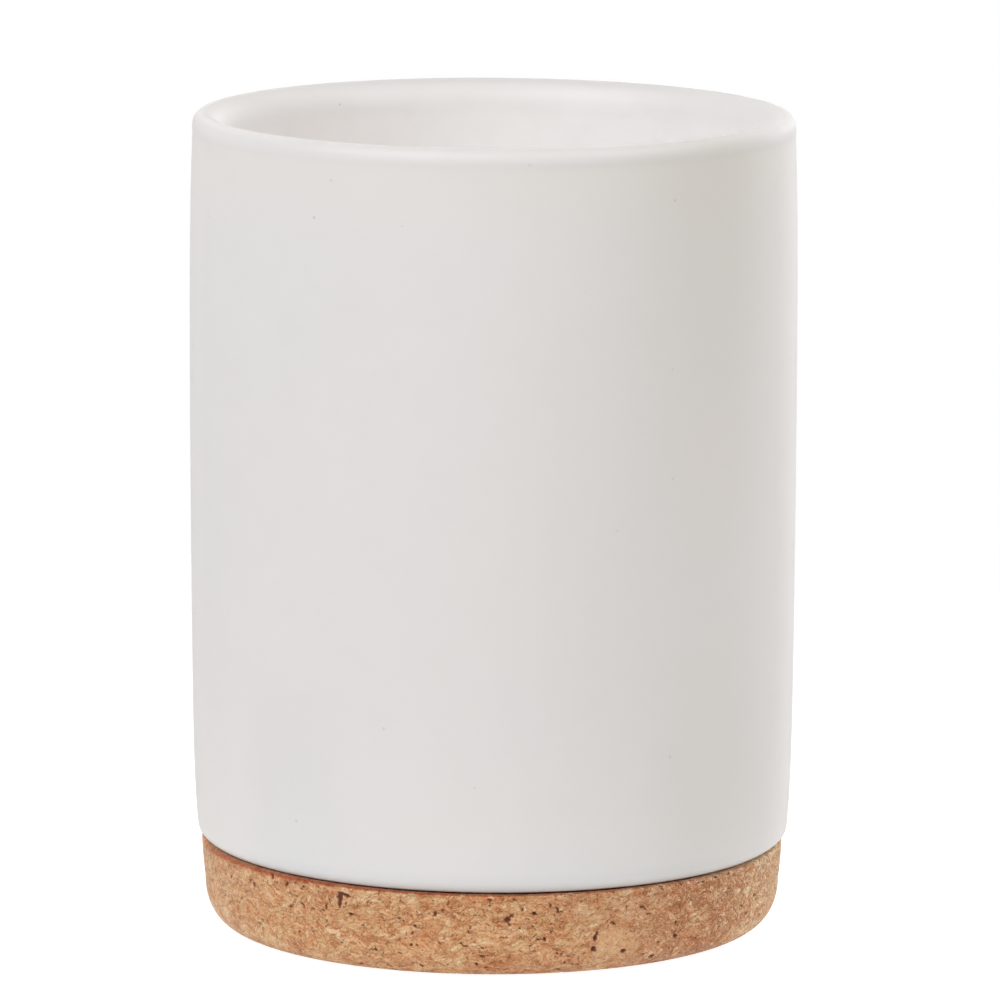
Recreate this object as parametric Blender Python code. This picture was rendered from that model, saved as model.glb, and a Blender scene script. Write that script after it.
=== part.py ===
"""Bathroom tumbler: a slip-cast, satin glazed stoneware cup glued into a turned base of pressed cork.

Metres, +Z up, the object's own frame: the origin is the centre of the flat underside of the cork base,
and +Z is the axis of the cup. Every piece is a turned profile. A profile is a list of (radius, height)
points that starts on the axis, runs out along the upper side, down the outer side and back to the axis.
"""

import math

import bmesh
import bpy

# ---- driving dimensions, in metres -----------------------------------------
STEPS = 80  # facets round every turned piece

# overall
CUP_R = 0.0400  # widest radius of the cup, at its belly
TOP_Z = 0.1081  # rim above the surface that the tumbler stands on

# the cup's outer wall, seen from the side: a long shallow belly that draws in at both ends
SHOULDER_Z = 0.01175  # where the wall turns under, just above the cork
BELLY_Z = 0.0690  # height of the widest point
BELLY_DROP_TOP = 0.00041  # how much the wall has drawn in where the lip begins
BELLY_DROP_LOW = 0.00038  # and where it meets the base
BELLY_POWER_TOP = 3.3
BELLY_POWER_LOW = 1.3
TAPER = 0.00068  # soft draw-in of the last few millimetres above the base
TAPER_RISE = 0.0058
EDGE_ROUND = 0.00115  # tight rounding of the bottom edge itself
EDGE_RISE = 0.0008

# rim: a quarter ellipse outside and a softer one inside
LIP_OUT = 0.0016
LIP_OUT_H = 0.0021
LIP_IN_H = 0.0030

# inside of the cup
WALL = 0.0042
FLOOR = 0.0050  # thickness of the floor above the underside
INNER_CORNER = 0.0080  # radius where the wall meets the floor

# underside of the cup: a flat shoulder and an unglazed foot ring that drops into the base
UNDER_Z = 0.01170
UNDER_ROLL = 0.0005
FOOT_R_OUT = 0.0326
FOOT_WIDTH = 0.0050
FOOT_DROP = 0.0025
FOOT_RECESS = 0.0020  # depth of the hollow inside the foot ring
FOOT_CHAMFER = 0.0005

# cork base
GAP = 0.0003  # open joint between the cork and the cup's shoulder
CORK_TOP_Z = UNDER_Z - GAP
CORK_R_TOP = 0.03869
CORK_R_LOW = 0.03811  # radius where the bottom rounding begins
CORK_LOW_Z = 0.00622  # height where the bottom rounding begins
CORK_SIDE_POWER = 1.5
CORK_EDGE = 0.0006  # rounding of the top edge
CORK_FOOT_R = 0.03314  # radius of the flat underside
CORK_ROUND_POWER = 2.36  # fullness of the bottom rounding: 2 is a plain ellipse
RECESS_R = 0.0330
RECESS_DEPTH = 0.0034

# bead of adhesive squeezed between the foot ring and the floor of the recess
GLUE_R_IN = 0.0274
GLUE_R_OUT = 0.0323
GLUE_BOTTOM_Z = CORK_TOP_Z - RECESS_DEPTH + GAP
GLUE_TOP_Z = UNDER_Z - FOOT_DROP - GAP


# ---- profile helpers ---------------------------------------------------------
def arc(centre, a, b, start, end, count, power=2.0):
    """Points on a superellipse with half axes a and b, from start to end in degrees, both ends included."""
    points = []
    for i in range(count + 1):
        t = math.radians(start + (end - start) * i / count)
        c, s = math.cos(t), math.sin(t)
        points.append(
            (
                centre[0] + a * math.copysign(abs(c) ** (2.0 / power), c),
                centre[1] + b * math.copysign(abs(s) ** (2.0 / power), s),
            )
        )
    return points


def wall_radius(z):
    """Outer radius of the cup at height z, between the shoulder and the lip."""
    lip_z = TOP_Z - LIP_OUT_H
    if z > BELLY_Z:
        bow = BELLY_DROP_TOP * ((z - BELLY_Z) / (lip_z - BELLY_Z)) ** BELLY_POWER_TOP
    else:
        bow = BELLY_DROP_LOW * ((BELLY_Z - z) / (BELLY_Z - SHOULDER_Z)) ** BELLY_POWER_LOW
    rise = z - SHOULDER_Z
    soft = TAPER * math.exp(-rise / TAPER_RISE)
    tight = EDGE_ROUND * math.exp(-rise / EDGE_RISE)
    return CUP_R - bow - soft - tight


def cork_radius(z):
    """Radius of the cork's side, which leans in a little towards the bottom."""
    down = (CORK_TOP_Z - z) / (CORK_TOP_Z - CORK_LOW_Z)
    return CORK_R_TOP - (CORK_R_TOP - CORK_R_LOW) * max(down, 0.0) ** CORK_SIDE_POWER


def spread(start, end, count, power=1.0):
    """Heights from start to end, both included, closer together near the start where power is over 1."""
    return [start + (end - start) * (i / count) ** power for i in range(count + 1)]


# ---- the pieces' profiles -----------------------------------------------------
def cup_profile():
    lip_z = TOP_Z - LIP_OUT_H
    inner_lip_z = TOP_Z - LIP_IN_H
    floor_z = UNDER_Z + FLOOR
    lip_out_r = wall_radius(lip_z)
    top_r = lip_out_r - LIP_OUT
    inner_r = lip_out_r - WALL
    low_r = wall_radius(floor_z + INNER_CORNER) - WALL

    points = [(0.0, floor_z)]
    points += arc(
        (low_r - INNER_CORNER, floor_z + INNER_CORNER), INNER_CORNER, INNER_CORNER, -90, 0, 6
    )
    for z in spread(floor_z + INNER_CORNER, inner_lip_z, 5)[1:-1]:
        points.append((wall_radius(z) - WALL, z))
    points += arc((top_r, inner_lip_z), top_r - inner_r, LIP_IN_H, 180, 90, 4)
    points += arc((top_r, lip_z), LIP_OUT, LIP_OUT_H, 90, 0, 4)[1:]
    for z in reversed(spread(SHOULDER_Z, lip_z, 14, 2.2)[1:-1]):
        points.append((wall_radius(z), z))
    edge_r = wall_radius(SHOULDER_Z)
    points += [(edge_r, SHOULDER_Z), (edge_r - UNDER_ROLL, UNDER_Z)]

    foot_z = UNDER_Z - FOOT_DROP
    foot_in = FOOT_R_OUT - FOOT_WIDTH
    points += [
        (FOOT_R_OUT, UNDER_Z),
        (FOOT_R_OUT, foot_z + FOOT_CHAMFER),
        (FOOT_R_OUT - FOOT_CHAMFER, foot_z),
        (foot_in + FOOT_CHAMFER, foot_z),
        (foot_in, foot_z + FOOT_CHAMFER),
        (foot_in - FOOT_CHAMFER, foot_z + FOOT_RECESS),
        (0.0, foot_z + FOOT_RECESS),
    ]
    return points


def cork_profile():
    recess_z = CORK_TOP_Z - RECESS_DEPTH
    points = [
        (0.0, recess_z),
        (RECESS_R, recess_z),
        (RECESS_R, CORK_TOP_Z),
    ]
    points += arc(
        (CORK_R_TOP - CORK_EDGE, CORK_TOP_Z - CORK_EDGE), CORK_EDGE, CORK_EDGE, 90, 0, 3
    )
    for z in spread(CORK_TOP_Z - CORK_EDGE, CORK_LOW_Z, 3)[1:-1]:
        points.append((cork_radius(z), z))
    points += arc(
        (CORK_FOOT_R, CORK_LOW_Z),
        CORK_R_LOW - CORK_FOOT_R,
        CORK_LOW_Z,
        0,
        -90,
        8,
        CORK_ROUND_POWER,
    )
    points.append((0.0, 0.0))
    return points


def glue_profile():
    """A closed loop: a flattened bead, run down its outer side."""
    middle = (GLUE_R_IN + GLUE_R_OUT) / 2
    centre_z = (GLUE_TOP_Z + GLUE_BOTTOM_Z) / 2
    return arc(
        (middle, centre_z),
        (GLUE_R_OUT - GLUE_R_IN) / 2,
        (GLUE_TOP_Z - GLUE_BOTTOM_Z) / 2,
        180,
        -180,
        12,
        4.0,
    )[:-1]


# ---- making the objects ---------------------------------------------------------
def material(name, colour, roughness, coat=0.0):
    made = bpy.data.materials.new(name)
    made.use_nodes = True
    shader = made.node_tree.nodes["Principled BSDF"]
    shader.inputs["Base Color"].default_value = (*colour, 1.0)
    shader.inputs["Roughness"].default_value = roughness
    shader.inputs["Metallic"].default_value = 0.0
    shader.inputs["Coat Weight"].default_value = coat
    made.diffuse_color = (*colour, 1.0)
    return made


def turned(name, profile, look, parent, closed=False, steps=STEPS):
    """An object whose profile a Screw modifier turns round +Z."""
    form = bmesh.new()
    points = [form.verts.new((r, 0.0, z)) for r, z in profile]
    for first, second in zip(points, points[1:]):
        form.edges.new((first, second))
    if closed:
        form.edges.new((points[-1], points[0]))
    mesh = bpy.data.meshes.new(name)
    form.to_mesh(mesh)
    form.free()
    piece = bpy.data.objects.new(name, mesh)
    bpy.context.scene.collection.objects.link(piece)
    piece.parent = parent
    mesh.materials.append(look)

    turn = piece.modifiers.new("turn", "SCREW")
    turn.axis = "Z"
    turn.angle = 2 * math.pi
    turn.steps = steps
    turn.render_steps = steps
    turn.use_merge_vertices = True
    turn.merge_threshold = 0.00001
    turn.use_smooth_shade = True

    # The turned mesh replaces the modifier, so that sharp edges can be marked on it.
    graph = bpy.context.evaluated_depsgraph_get()
    solid = bpy.data.meshes.new_from_object(piece.evaluated_get(graph))
    piece.modifiers.clear()
    piece.data = solid
    solid.name = name
    bpy.data.meshes.remove(mesh)
    solid.shade_smooth()
    solid.set_sharp_from_angle(angle=math.radians(35))
    return piece


def main():
    for old in list(bpy.data.objects):
        bpy.data.objects.remove(old)

    glaze = material("satin_white_glaze", (0.80, 0.78, 0.76), 0.38, 0.1)
    cork = material("pressed_cork", (0.52, 0.33, 0.18), 0.85)
    glue = material("adhesive", (0.75, 0.70, 0.58), 0.5)

    root = bpy.data.objects.new("tumbler", None)
    root.empty_display_size = 0.02
    bpy.context.scene.collection.objects.link(root)

    turned("ceramic_cup", cup_profile(), glaze, root)
    turned("cork_base", cork_profile(), cork, root)
    turned("adhesive_ring", glue_profile(), glue, root, closed=True, steps=48)


main()
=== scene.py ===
"""The looks of the tumbler: satin white glaze on a slip-cast cup, and a sanded base of pressed cork granules.

Everything is in metres in the row frame: +Z up, the origin at the centre of the cork's underside.
"""

import math

import bpy
import numpy as np
from mathutils import Matrix, Vector


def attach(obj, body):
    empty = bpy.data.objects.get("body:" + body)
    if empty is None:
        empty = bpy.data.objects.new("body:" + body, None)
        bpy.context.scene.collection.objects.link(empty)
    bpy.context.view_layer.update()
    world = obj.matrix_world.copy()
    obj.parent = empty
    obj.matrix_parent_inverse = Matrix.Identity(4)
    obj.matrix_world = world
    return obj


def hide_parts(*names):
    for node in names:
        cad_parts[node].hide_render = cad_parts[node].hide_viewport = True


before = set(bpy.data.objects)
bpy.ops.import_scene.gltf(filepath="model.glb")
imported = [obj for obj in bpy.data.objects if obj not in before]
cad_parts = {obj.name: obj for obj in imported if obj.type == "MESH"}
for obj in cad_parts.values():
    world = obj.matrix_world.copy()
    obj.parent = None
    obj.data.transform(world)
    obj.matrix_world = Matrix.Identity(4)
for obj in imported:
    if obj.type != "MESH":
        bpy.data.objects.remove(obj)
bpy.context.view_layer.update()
MM = 0.001


# ---------------------------------------------------------------------------
# camera, at the photograph's angle, for a square frame
# ---------------------------------------------------------------------------
def make_camera():
    data = bpy.data.cameras.new("camera")
    data.sensor_width = 36.0
    data.sensor_fit = "HORIZONTAL"
    data.lens = 8666.3 * 36.0 / 1000.0
    data.clip_start = 0.05
    data.clip_end = 20.0
    data.dof.use_dof = False
    cam = bpy.data.objects.new("camera", data)
    bpy.context.scene.collection.objects.link(cam)
    pitch, yaw, roll = (math.radians(a) for a in (9.6159, 0.0454, 0.1759))
    forward = Vector(
        (math.sin(yaw) * math.cos(pitch), math.cos(yaw) * math.cos(pitch), -math.sin(pitch))
    )
    right = Vector((math.cos(yaw), -math.sin(yaw), 0.0))
    up = right.cross(forward)
    right, up = (
        math.cos(roll) * right + math.sin(roll) * up,
        -math.sin(roll) * right + math.cos(roll) * up,
    )
    turn = Matrix((right, up, -forward)).transposed().to_4x4()
    cam.matrix_world = Matrix.Translation((0.0, -1.1290, 0.2478)) @ turn
    bpy.context.scene.camera = cam
    return cam


make_camera()


# ---------------------------------------------------------------------------
# turned meshes: rings of points about +Z, with a bake map laid out as listed
# ---------------------------------------------------------------------------
def arc(centre, a, b, start, end, count, power=2.0):
    points = []
    for i in range(count + 1):
        t = math.radians(start + (end - start) * i / count)
        c, s = math.cos(t), math.sin(t)
        points.append(
            (
                centre[0] + a * math.copysign(abs(c) ** (2.0 / power), c),
                centre[1] + b * math.copysign(abs(s) ** (2.0 / power), s),
            )
        )
    return points


def resampled(points, pitch):
    """The same line with a point about every pitch."""
    p = np.array(points, float)
    step = np.hypot(*np.diff(p, axis=0).T)
    along = np.concatenate([[0.0], np.cumsum(step)])
    count = max(1, int(round(along[-1] / pitch)))
    want = np.linspace(0.0, along[-1], count + 1)
    return np.stack([np.interp(want, along, p[:, 0]), np.interp(want, along, p[:, 1])], 1)


def round_angle(part, crowd):
    """Angle about +Z for a part of a turn that starts at the back. With crowd over 0 the points stand
    closer together at the front."""
    return math.pi / 2 + 2 * math.pi * part + crowd * np.sin(2 * math.pi * part)


def ring_mesh(name, rings, islands, warp=None, crowd=0.0):
    """rings: list of (radius, height, count, island). Consecutive rings of one count make quads, and a
    count that halves or doubles is stitched with triangles. A radius of 0 closes the end with a fan.
    islands: name -> function(theta, x, y, along) giving u, v in 0..1.
    Also gives each point's turn from the front, in degrees, and its place along the profile, in metres."""
    verts, start, turns, places = [], [], [], []
    total = 0
    along = 0.0
    runs = []
    for k, (r, z, n, _) in enumerate(rings):
        if k:
            along += math.hypot(r - rings[k - 1][0], z - rings[k - 1][1])
        runs.append(along)
        start.append(total)
        if r == 0.0:
            verts.append(np.array([[0.0, 0.0, z]]))
            turns.append(np.zeros(1))
            places.append(np.full(1, along))
            total += 1
            continue
        t = round_angle(np.arange(n) / n, crowd)
        verts.append(np.stack([r * np.cos(t), r * np.sin(t), np.full(n, z)], 1))
        turns.append(np.degrees(t) - 270.0)
        places.append(np.full(n, along))
        total += n
    co = np.concatenate(verts)

    faces, corners = [], []  # corners: (ring, fractional turn) of each face corner

    def put(ring_a, ring_b, quads):
        """quads: arrays of (which ring, index) per corner."""
        for which, index in quads:
            n_of = {0: rings[ring_a][2], 1: rings[ring_b][2]}
            base = {0: start[ring_a], 1: start[ring_b]}
            one = {0: rings[ring_a][0] == 0.0, 1: rings[ring_b][0] == 0.0}
            ids, turn = [], []
            for w, i in zip(which, index):
                n = n_of[w]
                ids.append(np.full(len(i), base[w]) if one[w] else base[w] + i % n)
                turn.append(i / n)
            faces.append(np.stack(ids, 1))
            ring = [ring_a if w == 0 else ring_b for w in which]
            corners.append((ring, np.stack(turn, 1)))

    for k in range(len(rings) - 1):
        (ra, _, na, _), (rb, _, nb, _) = rings[k], rings[k + 1]
        if ra == 0.0:
            j = np.arange(nb)
            mid = (j + 0.5) * 1.0
            put(k, k + 1, [((0, 1, 1), (mid * rings[k][2] / nb, j, j + 1))])
        elif rb == 0.0:
            j = np.arange(na)
            put(k, k + 1, [((0, 1, 0), (j, (j + 0.5) * rings[k + 1][2] / na, j + 1))])
        elif na == nb:
            j = np.arange(na)
            put(k, k + 1, [((0, 1, 1, 0), (j, j, j + 1, j + 1))])
        elif na == 2 * nb:
            j = np.arange(nb)
            put(
                k,
                k + 1,
                [
                    ((0, 1, 0), (2 * j, j, 2 * j + 1)),
                    ((0, 1, 1), (2 * j + 1, j, j + 1)),
                    ((0, 1, 0), (2 * j + 1, j + 1, 2 * j + 2)),
                ],
            )
        elif nb == 2 * na:
            j = np.arange(na)
            put(
                k,
                k + 1,
                [
                    ((0, 1, 1), (j, 2 * j, 2 * j + 1)),
                    ((0, 1, 0), (j, 2 * j + 1, j + 1)),
                    ((0, 1, 1), (j + 1, 2 * j + 1, 2 * j + 2)),
                ],
            )
        else:
            raise ValueError("ring counts must match, halve or double")

    # island of a face: the one of its second ring, so a change of island falls on a ring
    uv_all, face_lists = [], []
    for ids, (ring, turn) in zip(faces, corners):
        face_lists.extend(ids.tolist())
        land = islands[rings[max(ring)][3]]
        mid = turn.mean(1)
        uv = np.zeros(turn.shape + (2,))
        for c, k in enumerate(ring):
            r = rings[k][0]
            theta = turn[:, c]
            x = r * np.cos(round_angle(theta, crowd))
            y = r * np.sin(round_angle(theta, crowd))
            uv[:, c, 0], uv[:, c, 1] = land(theta, mid, x, y, runs[k])
        uv_all.append(uv.reshape(-1, 2))

    if warp is not None:
        co = warp(co)
    mesh = bpy.data.meshes.new(name)
    mesh.from_pydata(co.tolist(), [], face_lists)
    layer = mesh.uv_layers.new(name="OFBake")
    layer.data.foreach_set("uv", np.concatenate(uv_all).astype(np.float32).ravel())
    mesh.validate()
    mesh.update()
    # outside faces out
    tri = co[[f[:3] for f in face_lists]]
    volume = np.einsum("ij,ij->i", tri[:, 0], np.cross(tri[:, 1], tri[:, 2])).sum()
    if volume < 0:
        mesh.flip_normals()
    made = bpy.data.objects.new(name, mesh)
    bpy.context.scene.collection.objects.link(made)
    mesh.shade_smooth()
    mesh.set_sharp_from_angle(angle=math.radians(40))
    return made, np.concatenate(turns), np.concatenate(places)


def strips(count, x0, y0, width, height, pad, length, s0, s1):
    """An island cut into count strips, one above the other. width x height is one strip's cell in the map."""

    def place(theta, mid, x, y, s):
        part = np.floor(np.clip(mid, 0, 0.999999) * count)
        u = x0 + pad + (theta * count - part) * (width - 2 * pad)
        v = y0 + part * height + pad + (s - s0) / (s1 - s0) * (height - 2 * pad)
        return u, v

    return place


def dial(cx, cy, size, s0, s1, inward=False):
    """A round island: as far from its middle as the point is along the profile, so upright faces get room too."""

    def place(theta, mid, x, y, s):
        reach = size * ((s1 - s) if inward else (s - s0)) / (s1 - s0)
        r = np.maximum(np.hypot(x, y), 1e-9)
        return cx + x / r * reach, cy + y / r * reach

    return place


# ---------------------------------------------------------------------------
# the cup
# ---------------------------------------------------------------------------
CUP_R, TOP_Z, SHOULDER_Z, BELLY_Z = 0.0400, 0.1081, 0.01175, 0.0690
LIP_OUT, LIP_OUT_H, LIP_IN_H, WALL = 0.0016, 0.0021, 0.0044, 0.0042
UNDER_Z, FLOOR_Z, CORNER = 0.01170, 0.01670, 0.0080
LIP_Z = TOP_Z - LIP_OUT_H


def wall_radius(z):
    if z > BELLY_Z:
        bow = 0.00041 * ((z - BELLY_Z) / (LIP_Z - BELLY_Z)) ** 3.3
        # a faint throat where the wiped lip meets the wall
        under = max(LIP_Z - z, 0.0)
        bow += 0.000075 * (1 - math.exp(-under / 0.0005)) * math.exp(-under / 0.007)
    else:
        bow = 0.00038 * ((BELLY_Z - z) / (BELLY_Z - SHOULDER_Z)) ** 1.3
    rise = z - SHOULDER_Z
    return (
        CUP_R - bow - 0.00068 * math.exp(-rise / 0.0058) - 0.00105 * max(0.0, 1 - rise / 0.0016) ** 2.6
    )


def bore_radius(z):
    """Inside radius. The bore draws in as the wall does, and meets the lip upright."""
    if z <= BELLY_Z:
        return wall_radius(z) - WALL
    part = (z - BELLY_Z) / (TOP_Z - LIP_IN_H - BELLY_Z)
    return CUP_R - WALL - 0.00041 * part**3 * (4 - 3 * part)


def cup_warp(co):
    """What the kiln and the hand leave: the rim a little out of level and out of round, the wall not quite true."""
    r = np.hypot(co[:, 0], co[:, 1])
    t = np.arctan2(co[:, 1], co[:, 0])
    z = co[:, 2]
    high = np.clip((z - 0.060) / (TOP_Z - 0.060), 0, 1) ** 2
    wave = (
        0.050 * np.cos(2 * t + 0.9) * high
        + 0.022 * np.cos(3 * t - 0.4) * np.sin(z / 0.0231 + 0.6)
        + 0.014 * np.cos(5 * t + 1.7) * np.sin(z / 0.0148 - 1.1)
        + 0.010 * np.cos(2 * t - 2.0) * np.cos(z / 0.0102)
    ) * MM
    scale = 1 + np.where(r > 0.02, wave / np.maximum(r, 1e-6), 0.0)
    out = co.copy()
    out[:, 0] *= scale
    out[:, 1] *= scale
    back = np.maximum(np.sin(t), 0)
    out[:, 2] += high * (-0.10 * np.cos(t - 0.9) + 0.03 * np.cos(2 * t + 0.5) + back * (0.09 * back - 0.06 * np.cos(t))) * MM
    # the inside was cast a little off centre, so the wall is thinner on one side
    inner = np.clip((38.2 * MM - r) / (1.0 * MM), 0, 1) * np.clip((z - 0.018) / 0.02, 0, 1)
    out[:, 0] += 0.45 * MM * inner * np.maximum(np.cos(t), 0) ** 1.5
    # and the cup leans a touch on its foot
    low = np.clip((0.030 - z) / 0.016, 0, 1)
    across = out[:, 0] / 0.038
    dip = 0.155 * across + 0.05 * np.maximum(-out[:, 1], 0) / 0.038 - 0.12 * across**2
    out[:, 2] -= MM * low * low * (3 - 2 * low) * dip
    return out


def cork_warp(co):
    """The top of the cork follows the foot of the cup."""
    up = np.clip((co[:, 2] - 0.002) / (0.0108 - 0.002), 0, 1)
    out = co.copy()
    across = co[:, 0] / 0.038
    out[:, 2] -= MM * up * (0.155 * across - 0.12 * across**2)
    out[:, 0] -= 0.06 * MM
    return out


def make_cup():
    rings = []

    def run(points, n, island, pitch=None):
        pts = resampled(points, pitch) if pitch else np.array(points)
        for r, z in pts:
            if rings and math.hypot(rings[-1][0] - r, rings[-1][1] - z) < 1e-7:
                continue
            rings.append((float(r), float(z), n, island))

    lip_r = wall_radius(LIP_Z)
    top_r = lip_r - LIP_OUT
    inner_lip_z = TOP_Z - LIP_IN_H
    low_r = bore_radius(FLOOR_Z + CORNER)

    # inside floor, gently dished up to the corner
    rings.append((0.0, FLOOR_Z, 45, "floor"))
    for r, n in ((1.2, 45), (2.4, 45), (3.6, 45)):
        rings.append((r * MM, FLOOR_Z, n, "floor"))
    for r in np.arange(4.8, 9.0, 1.2):
        rings.append((r * MM, FLOOR_Z, 90, "floor"))
    for r in np.arange(9.4, 17.0, 1.2):
        rings.append((r * MM, FLOOR_Z, 180, "floor"))
    for r in np.arange(18.0, 27.3, 1.0):
        rings.append((r * MM, FLOOR_Z, 360, "floor"))
    run(
        arc((low_r - CORNER, FLOOR_Z + CORNER), CORNER, CORNER, -90, 0, 40),
        360,
        "floor",
        0.7 * MM,
    )
    run(
        [
            (bore_radius(z), z)
            for z in np.linspace(FLOOR_Z + CORNER, inner_lip_z, 80)
        ],
        360,
        "inside",
        1.3 * MM,
    )
    inner_r = bore_radius(inner_lip_z)
    run(
        arc((top_r, inner_lip_z), top_r - inner_r, LIP_IN_H, 180, 90, 60, 2.1),
        360,
        "inside",
        0.26 * MM,
    )
    run(arc((top_r, LIP_Z), LIP_OUT, LIP_OUT_H, 90, 0, 60, 2.5), 360, "outside", 0.20 * MM)
    zs = SHOULDER_Z + (LIP_Z - SHOULDER_Z) * np.linspace(1, 0, 400) ** 1.0
    line = [(wall_radius(z), z) for z in zs]
    throat = [(wall_radius(z), z) for z in np.linspace(LIP_Z, LIP_Z - 0.0025, 120)]
    high = [p for p in line if 0.0215 < p[1] < LIP_Z - 0.0025]
    low = [p for p in line if p[1] <= 0.0215]
    fine = [(wall_radius(z), z) for z in np.linspace(low[0][1], SHOULDER_Z, 400)]
    run(throat, 360, "outside", 0.21 * MM)
    run(high, 360, "outside", 1.3 * MM)
    run([p for p in fine if p[1] > 0.0140], 360, "outside", 0.6 * MM)
    run([p for p in fine if p[1] <= 0.0140], 360, "outside", 0.18 * MM)
    # the edge rolls under onto the flat shoulder
    edge = wall_radius(SHOULDER_Z)
    run(
        arc((edge - 0.0005, SHOULDER_Z), 0.0005, SHOULDER_Z - UNDER_Z, 0, -90, 8),
        360,
        "under",
    )
    foot_z = UNDER_Z - 0.0025
    for r, z in (
        (36.2 * MM, UNDER_Z),
        (34.4 * MM, UNDER_Z),
        (32.8 * MM, UNDER_Z),
        (32.6 * MM, UNDER_Z - 0.0002),
        (32.6 * MM, foot_z + 0.0005),
        (32.45 * MM, foot_z + 0.00015),
        (32.1 * MM, foot_z),
        (30.1 * MM, foot_z),
        (28.1 * MM, foot_z),
        (27.75 * MM, foot_z + 0.00015),
        (27.6 * MM, foot_z + 0.0005),
    ):
        rings.append((r, z, 360, "under"))
    rings.append((27.1 * MM, UNDER_Z - 0.0005, 360, "under"))
    for r, n in ((24.0, 180), (18.0, 90), (12.0, 45), (6.0, 45)):
        rings.append((r * MM, UNDER_Z - 0.0005, n, "under"))
    rings.append((0.0, UNDER_Z - 0.0005, 45, "under"))

    # where each island starts along the profile
    along, total, last = {}, 0.0, None
    for r, z, _, island in rings:
        if last is not None:
            total += math.hypot(r - last[0], z - last[1])
        if island not in along:
            # the first ring of an island is reached from the last ring of the one before
            along[island] = [total if last is None else total - math.hypot(r - last[0], z - last[1]), total]
        along[island][1] = total
        last = (r, z)
    islands = {
        "outside": strips(2, 0.0, 0.0, 0.520, 0.395, 0.004, 1, *along["outside"]),
        "inside": strips(2, 0.520, 0.0, 0.480, 0.395, 0.004, 1, *along["inside"]),
        "floor": dial(0.115, 0.885, 0.110, *along["floor"]),
        "under": dial(0.355, 0.885, 0.112, *along["under"], True),
    }
    return ring_mesh("glazed_cup", rings, islands, cup_warp)[0]


# ---------------------------------------------------------------------------
# the cork base
# ---------------------------------------------------------------------------
CORK_TOP, CORK_R_TOP, CORK_R_LOW, CORK_LOW_Z, CORK_FOOT = 0.01140, 0.03851, 0.03809, 0.00622, 0.03314
CORK_EDGE, RECESS_R, RECESS_D = 0.00035, 0.0330, 0.0034


def cork_radius(z):
    down = (CORK_TOP - z) / (CORK_TOP - CORK_LOW_Z)
    return CORK_R_TOP - (CORK_R_TOP - CORK_R_LOW) * max(down, 0.0) ** 1.5


def make_cork():
    rings = []

    def run(points, n, island, pitch=None):
        pts = resampled(points, pitch) if pitch else np.array(points)
        for r, z in pts:
            if rings and math.hypot(rings[-1][0] - r, rings[-1][1] - z) < 1e-7:
                continue
            rings.append((float(r), float(z), n, island))

    floor_z = CORK_TOP - RECESS_D
    rings.append((0.0, floor_z, 30, "recess"))
    for r, n in ((3, 30), (6, 60), (10, 60), (14, 120), (19, 120), (24, 120), (29, 240), (32.9, 240)):
        rings.append((r * MM, floor_z, n, "recess"))
    rings.append((RECESS_R, floor_z + 0.0001, 240, "recess"))
    rings.append((RECESS_R, floor_z + 0.0017, 240, "recess"))
    rings.append((RECESS_R, CORK_TOP - 0.0001, 240, "recess"))
    rings.append((RECESS_R + 0.0001, CORK_TOP, 480, "recess"))
    run([(RECESS_R + 0.0006, CORK_TOP), (0.0364, CORK_TOP)], 480, "recess", 0.6 * MM)
    rings.append((0.0366, CORK_TOP, 960, "side"))
    side = [(0.0368, CORK_TOP), (CORK_R_TOP - CORK_EDGE, CORK_TOP)]
    side += arc((CORK_R_TOP - CORK_EDGE, CORK_TOP - CORK_EDGE), CORK_EDGE, CORK_EDGE, 90, 0, 20)
    side += [(cork_radius(z), z) for z in np.linspace(CORK_TOP - CORK_EDGE, CORK_LOW_Z, 60)[1:]]
    side += arc(
        (CORK_FOOT, CORK_LOW_Z), CORK_R_LOW - CORK_FOOT, CORK_LOW_Z, 0, -90, 200, 2.22
    )[1:]
    run(side, 960, "side", 0.205 * MM)
    for r in np.arange(32.7, 26.2, -0.45):
        rings.append((float(r) * MM, 0.0, 480, "sole"))
    for r in np.arange(25.9, 13.2, -0.6):
        rings.append((float(r) * MM, 0.0, 240, "sole"))
    for r in np.arange(12.8, 6.2, -0.6):
        rings.append((float(r) * MM, 0.0, 120, "sole"))
    for r, n in ((5.8, 60), (5.2, 60), (4.6, 60), (4.0, 60), (3.4, 60), (2.7, 30), (2.0, 30), (1.2, 30), (0.6, 30)):
        rings.append((r * MM, 0.0, n, "sole"))
    rings.append((0.0, 0.0, 30, "sole"))

    along, total, last = {}, 0.0, None
    for r, z, _, island in rings:
        step = 0.0 if last is None else math.hypot(r - last[0], z - last[1])
        if island not in along:
            along[island] = [total, total + step]
        total += step
        along[island][1] = total
        last = (r, z)
    islands = {
        "side": strips(3, 0.0, 0.0, 0.775, 0.165, 0.003, 1, *along["side"]),
        "sole": dial(0.255, 0.752, 0.240, *along["sole"], True),
        "recess": dial(0.66, 0.65, 0.140, *along["recess"]),
    }
    made, turn, place = ring_mesh("cork_puck", rings, islands, cork_warp, 0.30)
    mark_cork(made, turn, (place - along["side"][0]) / MM - 0.2)
    return made


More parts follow.
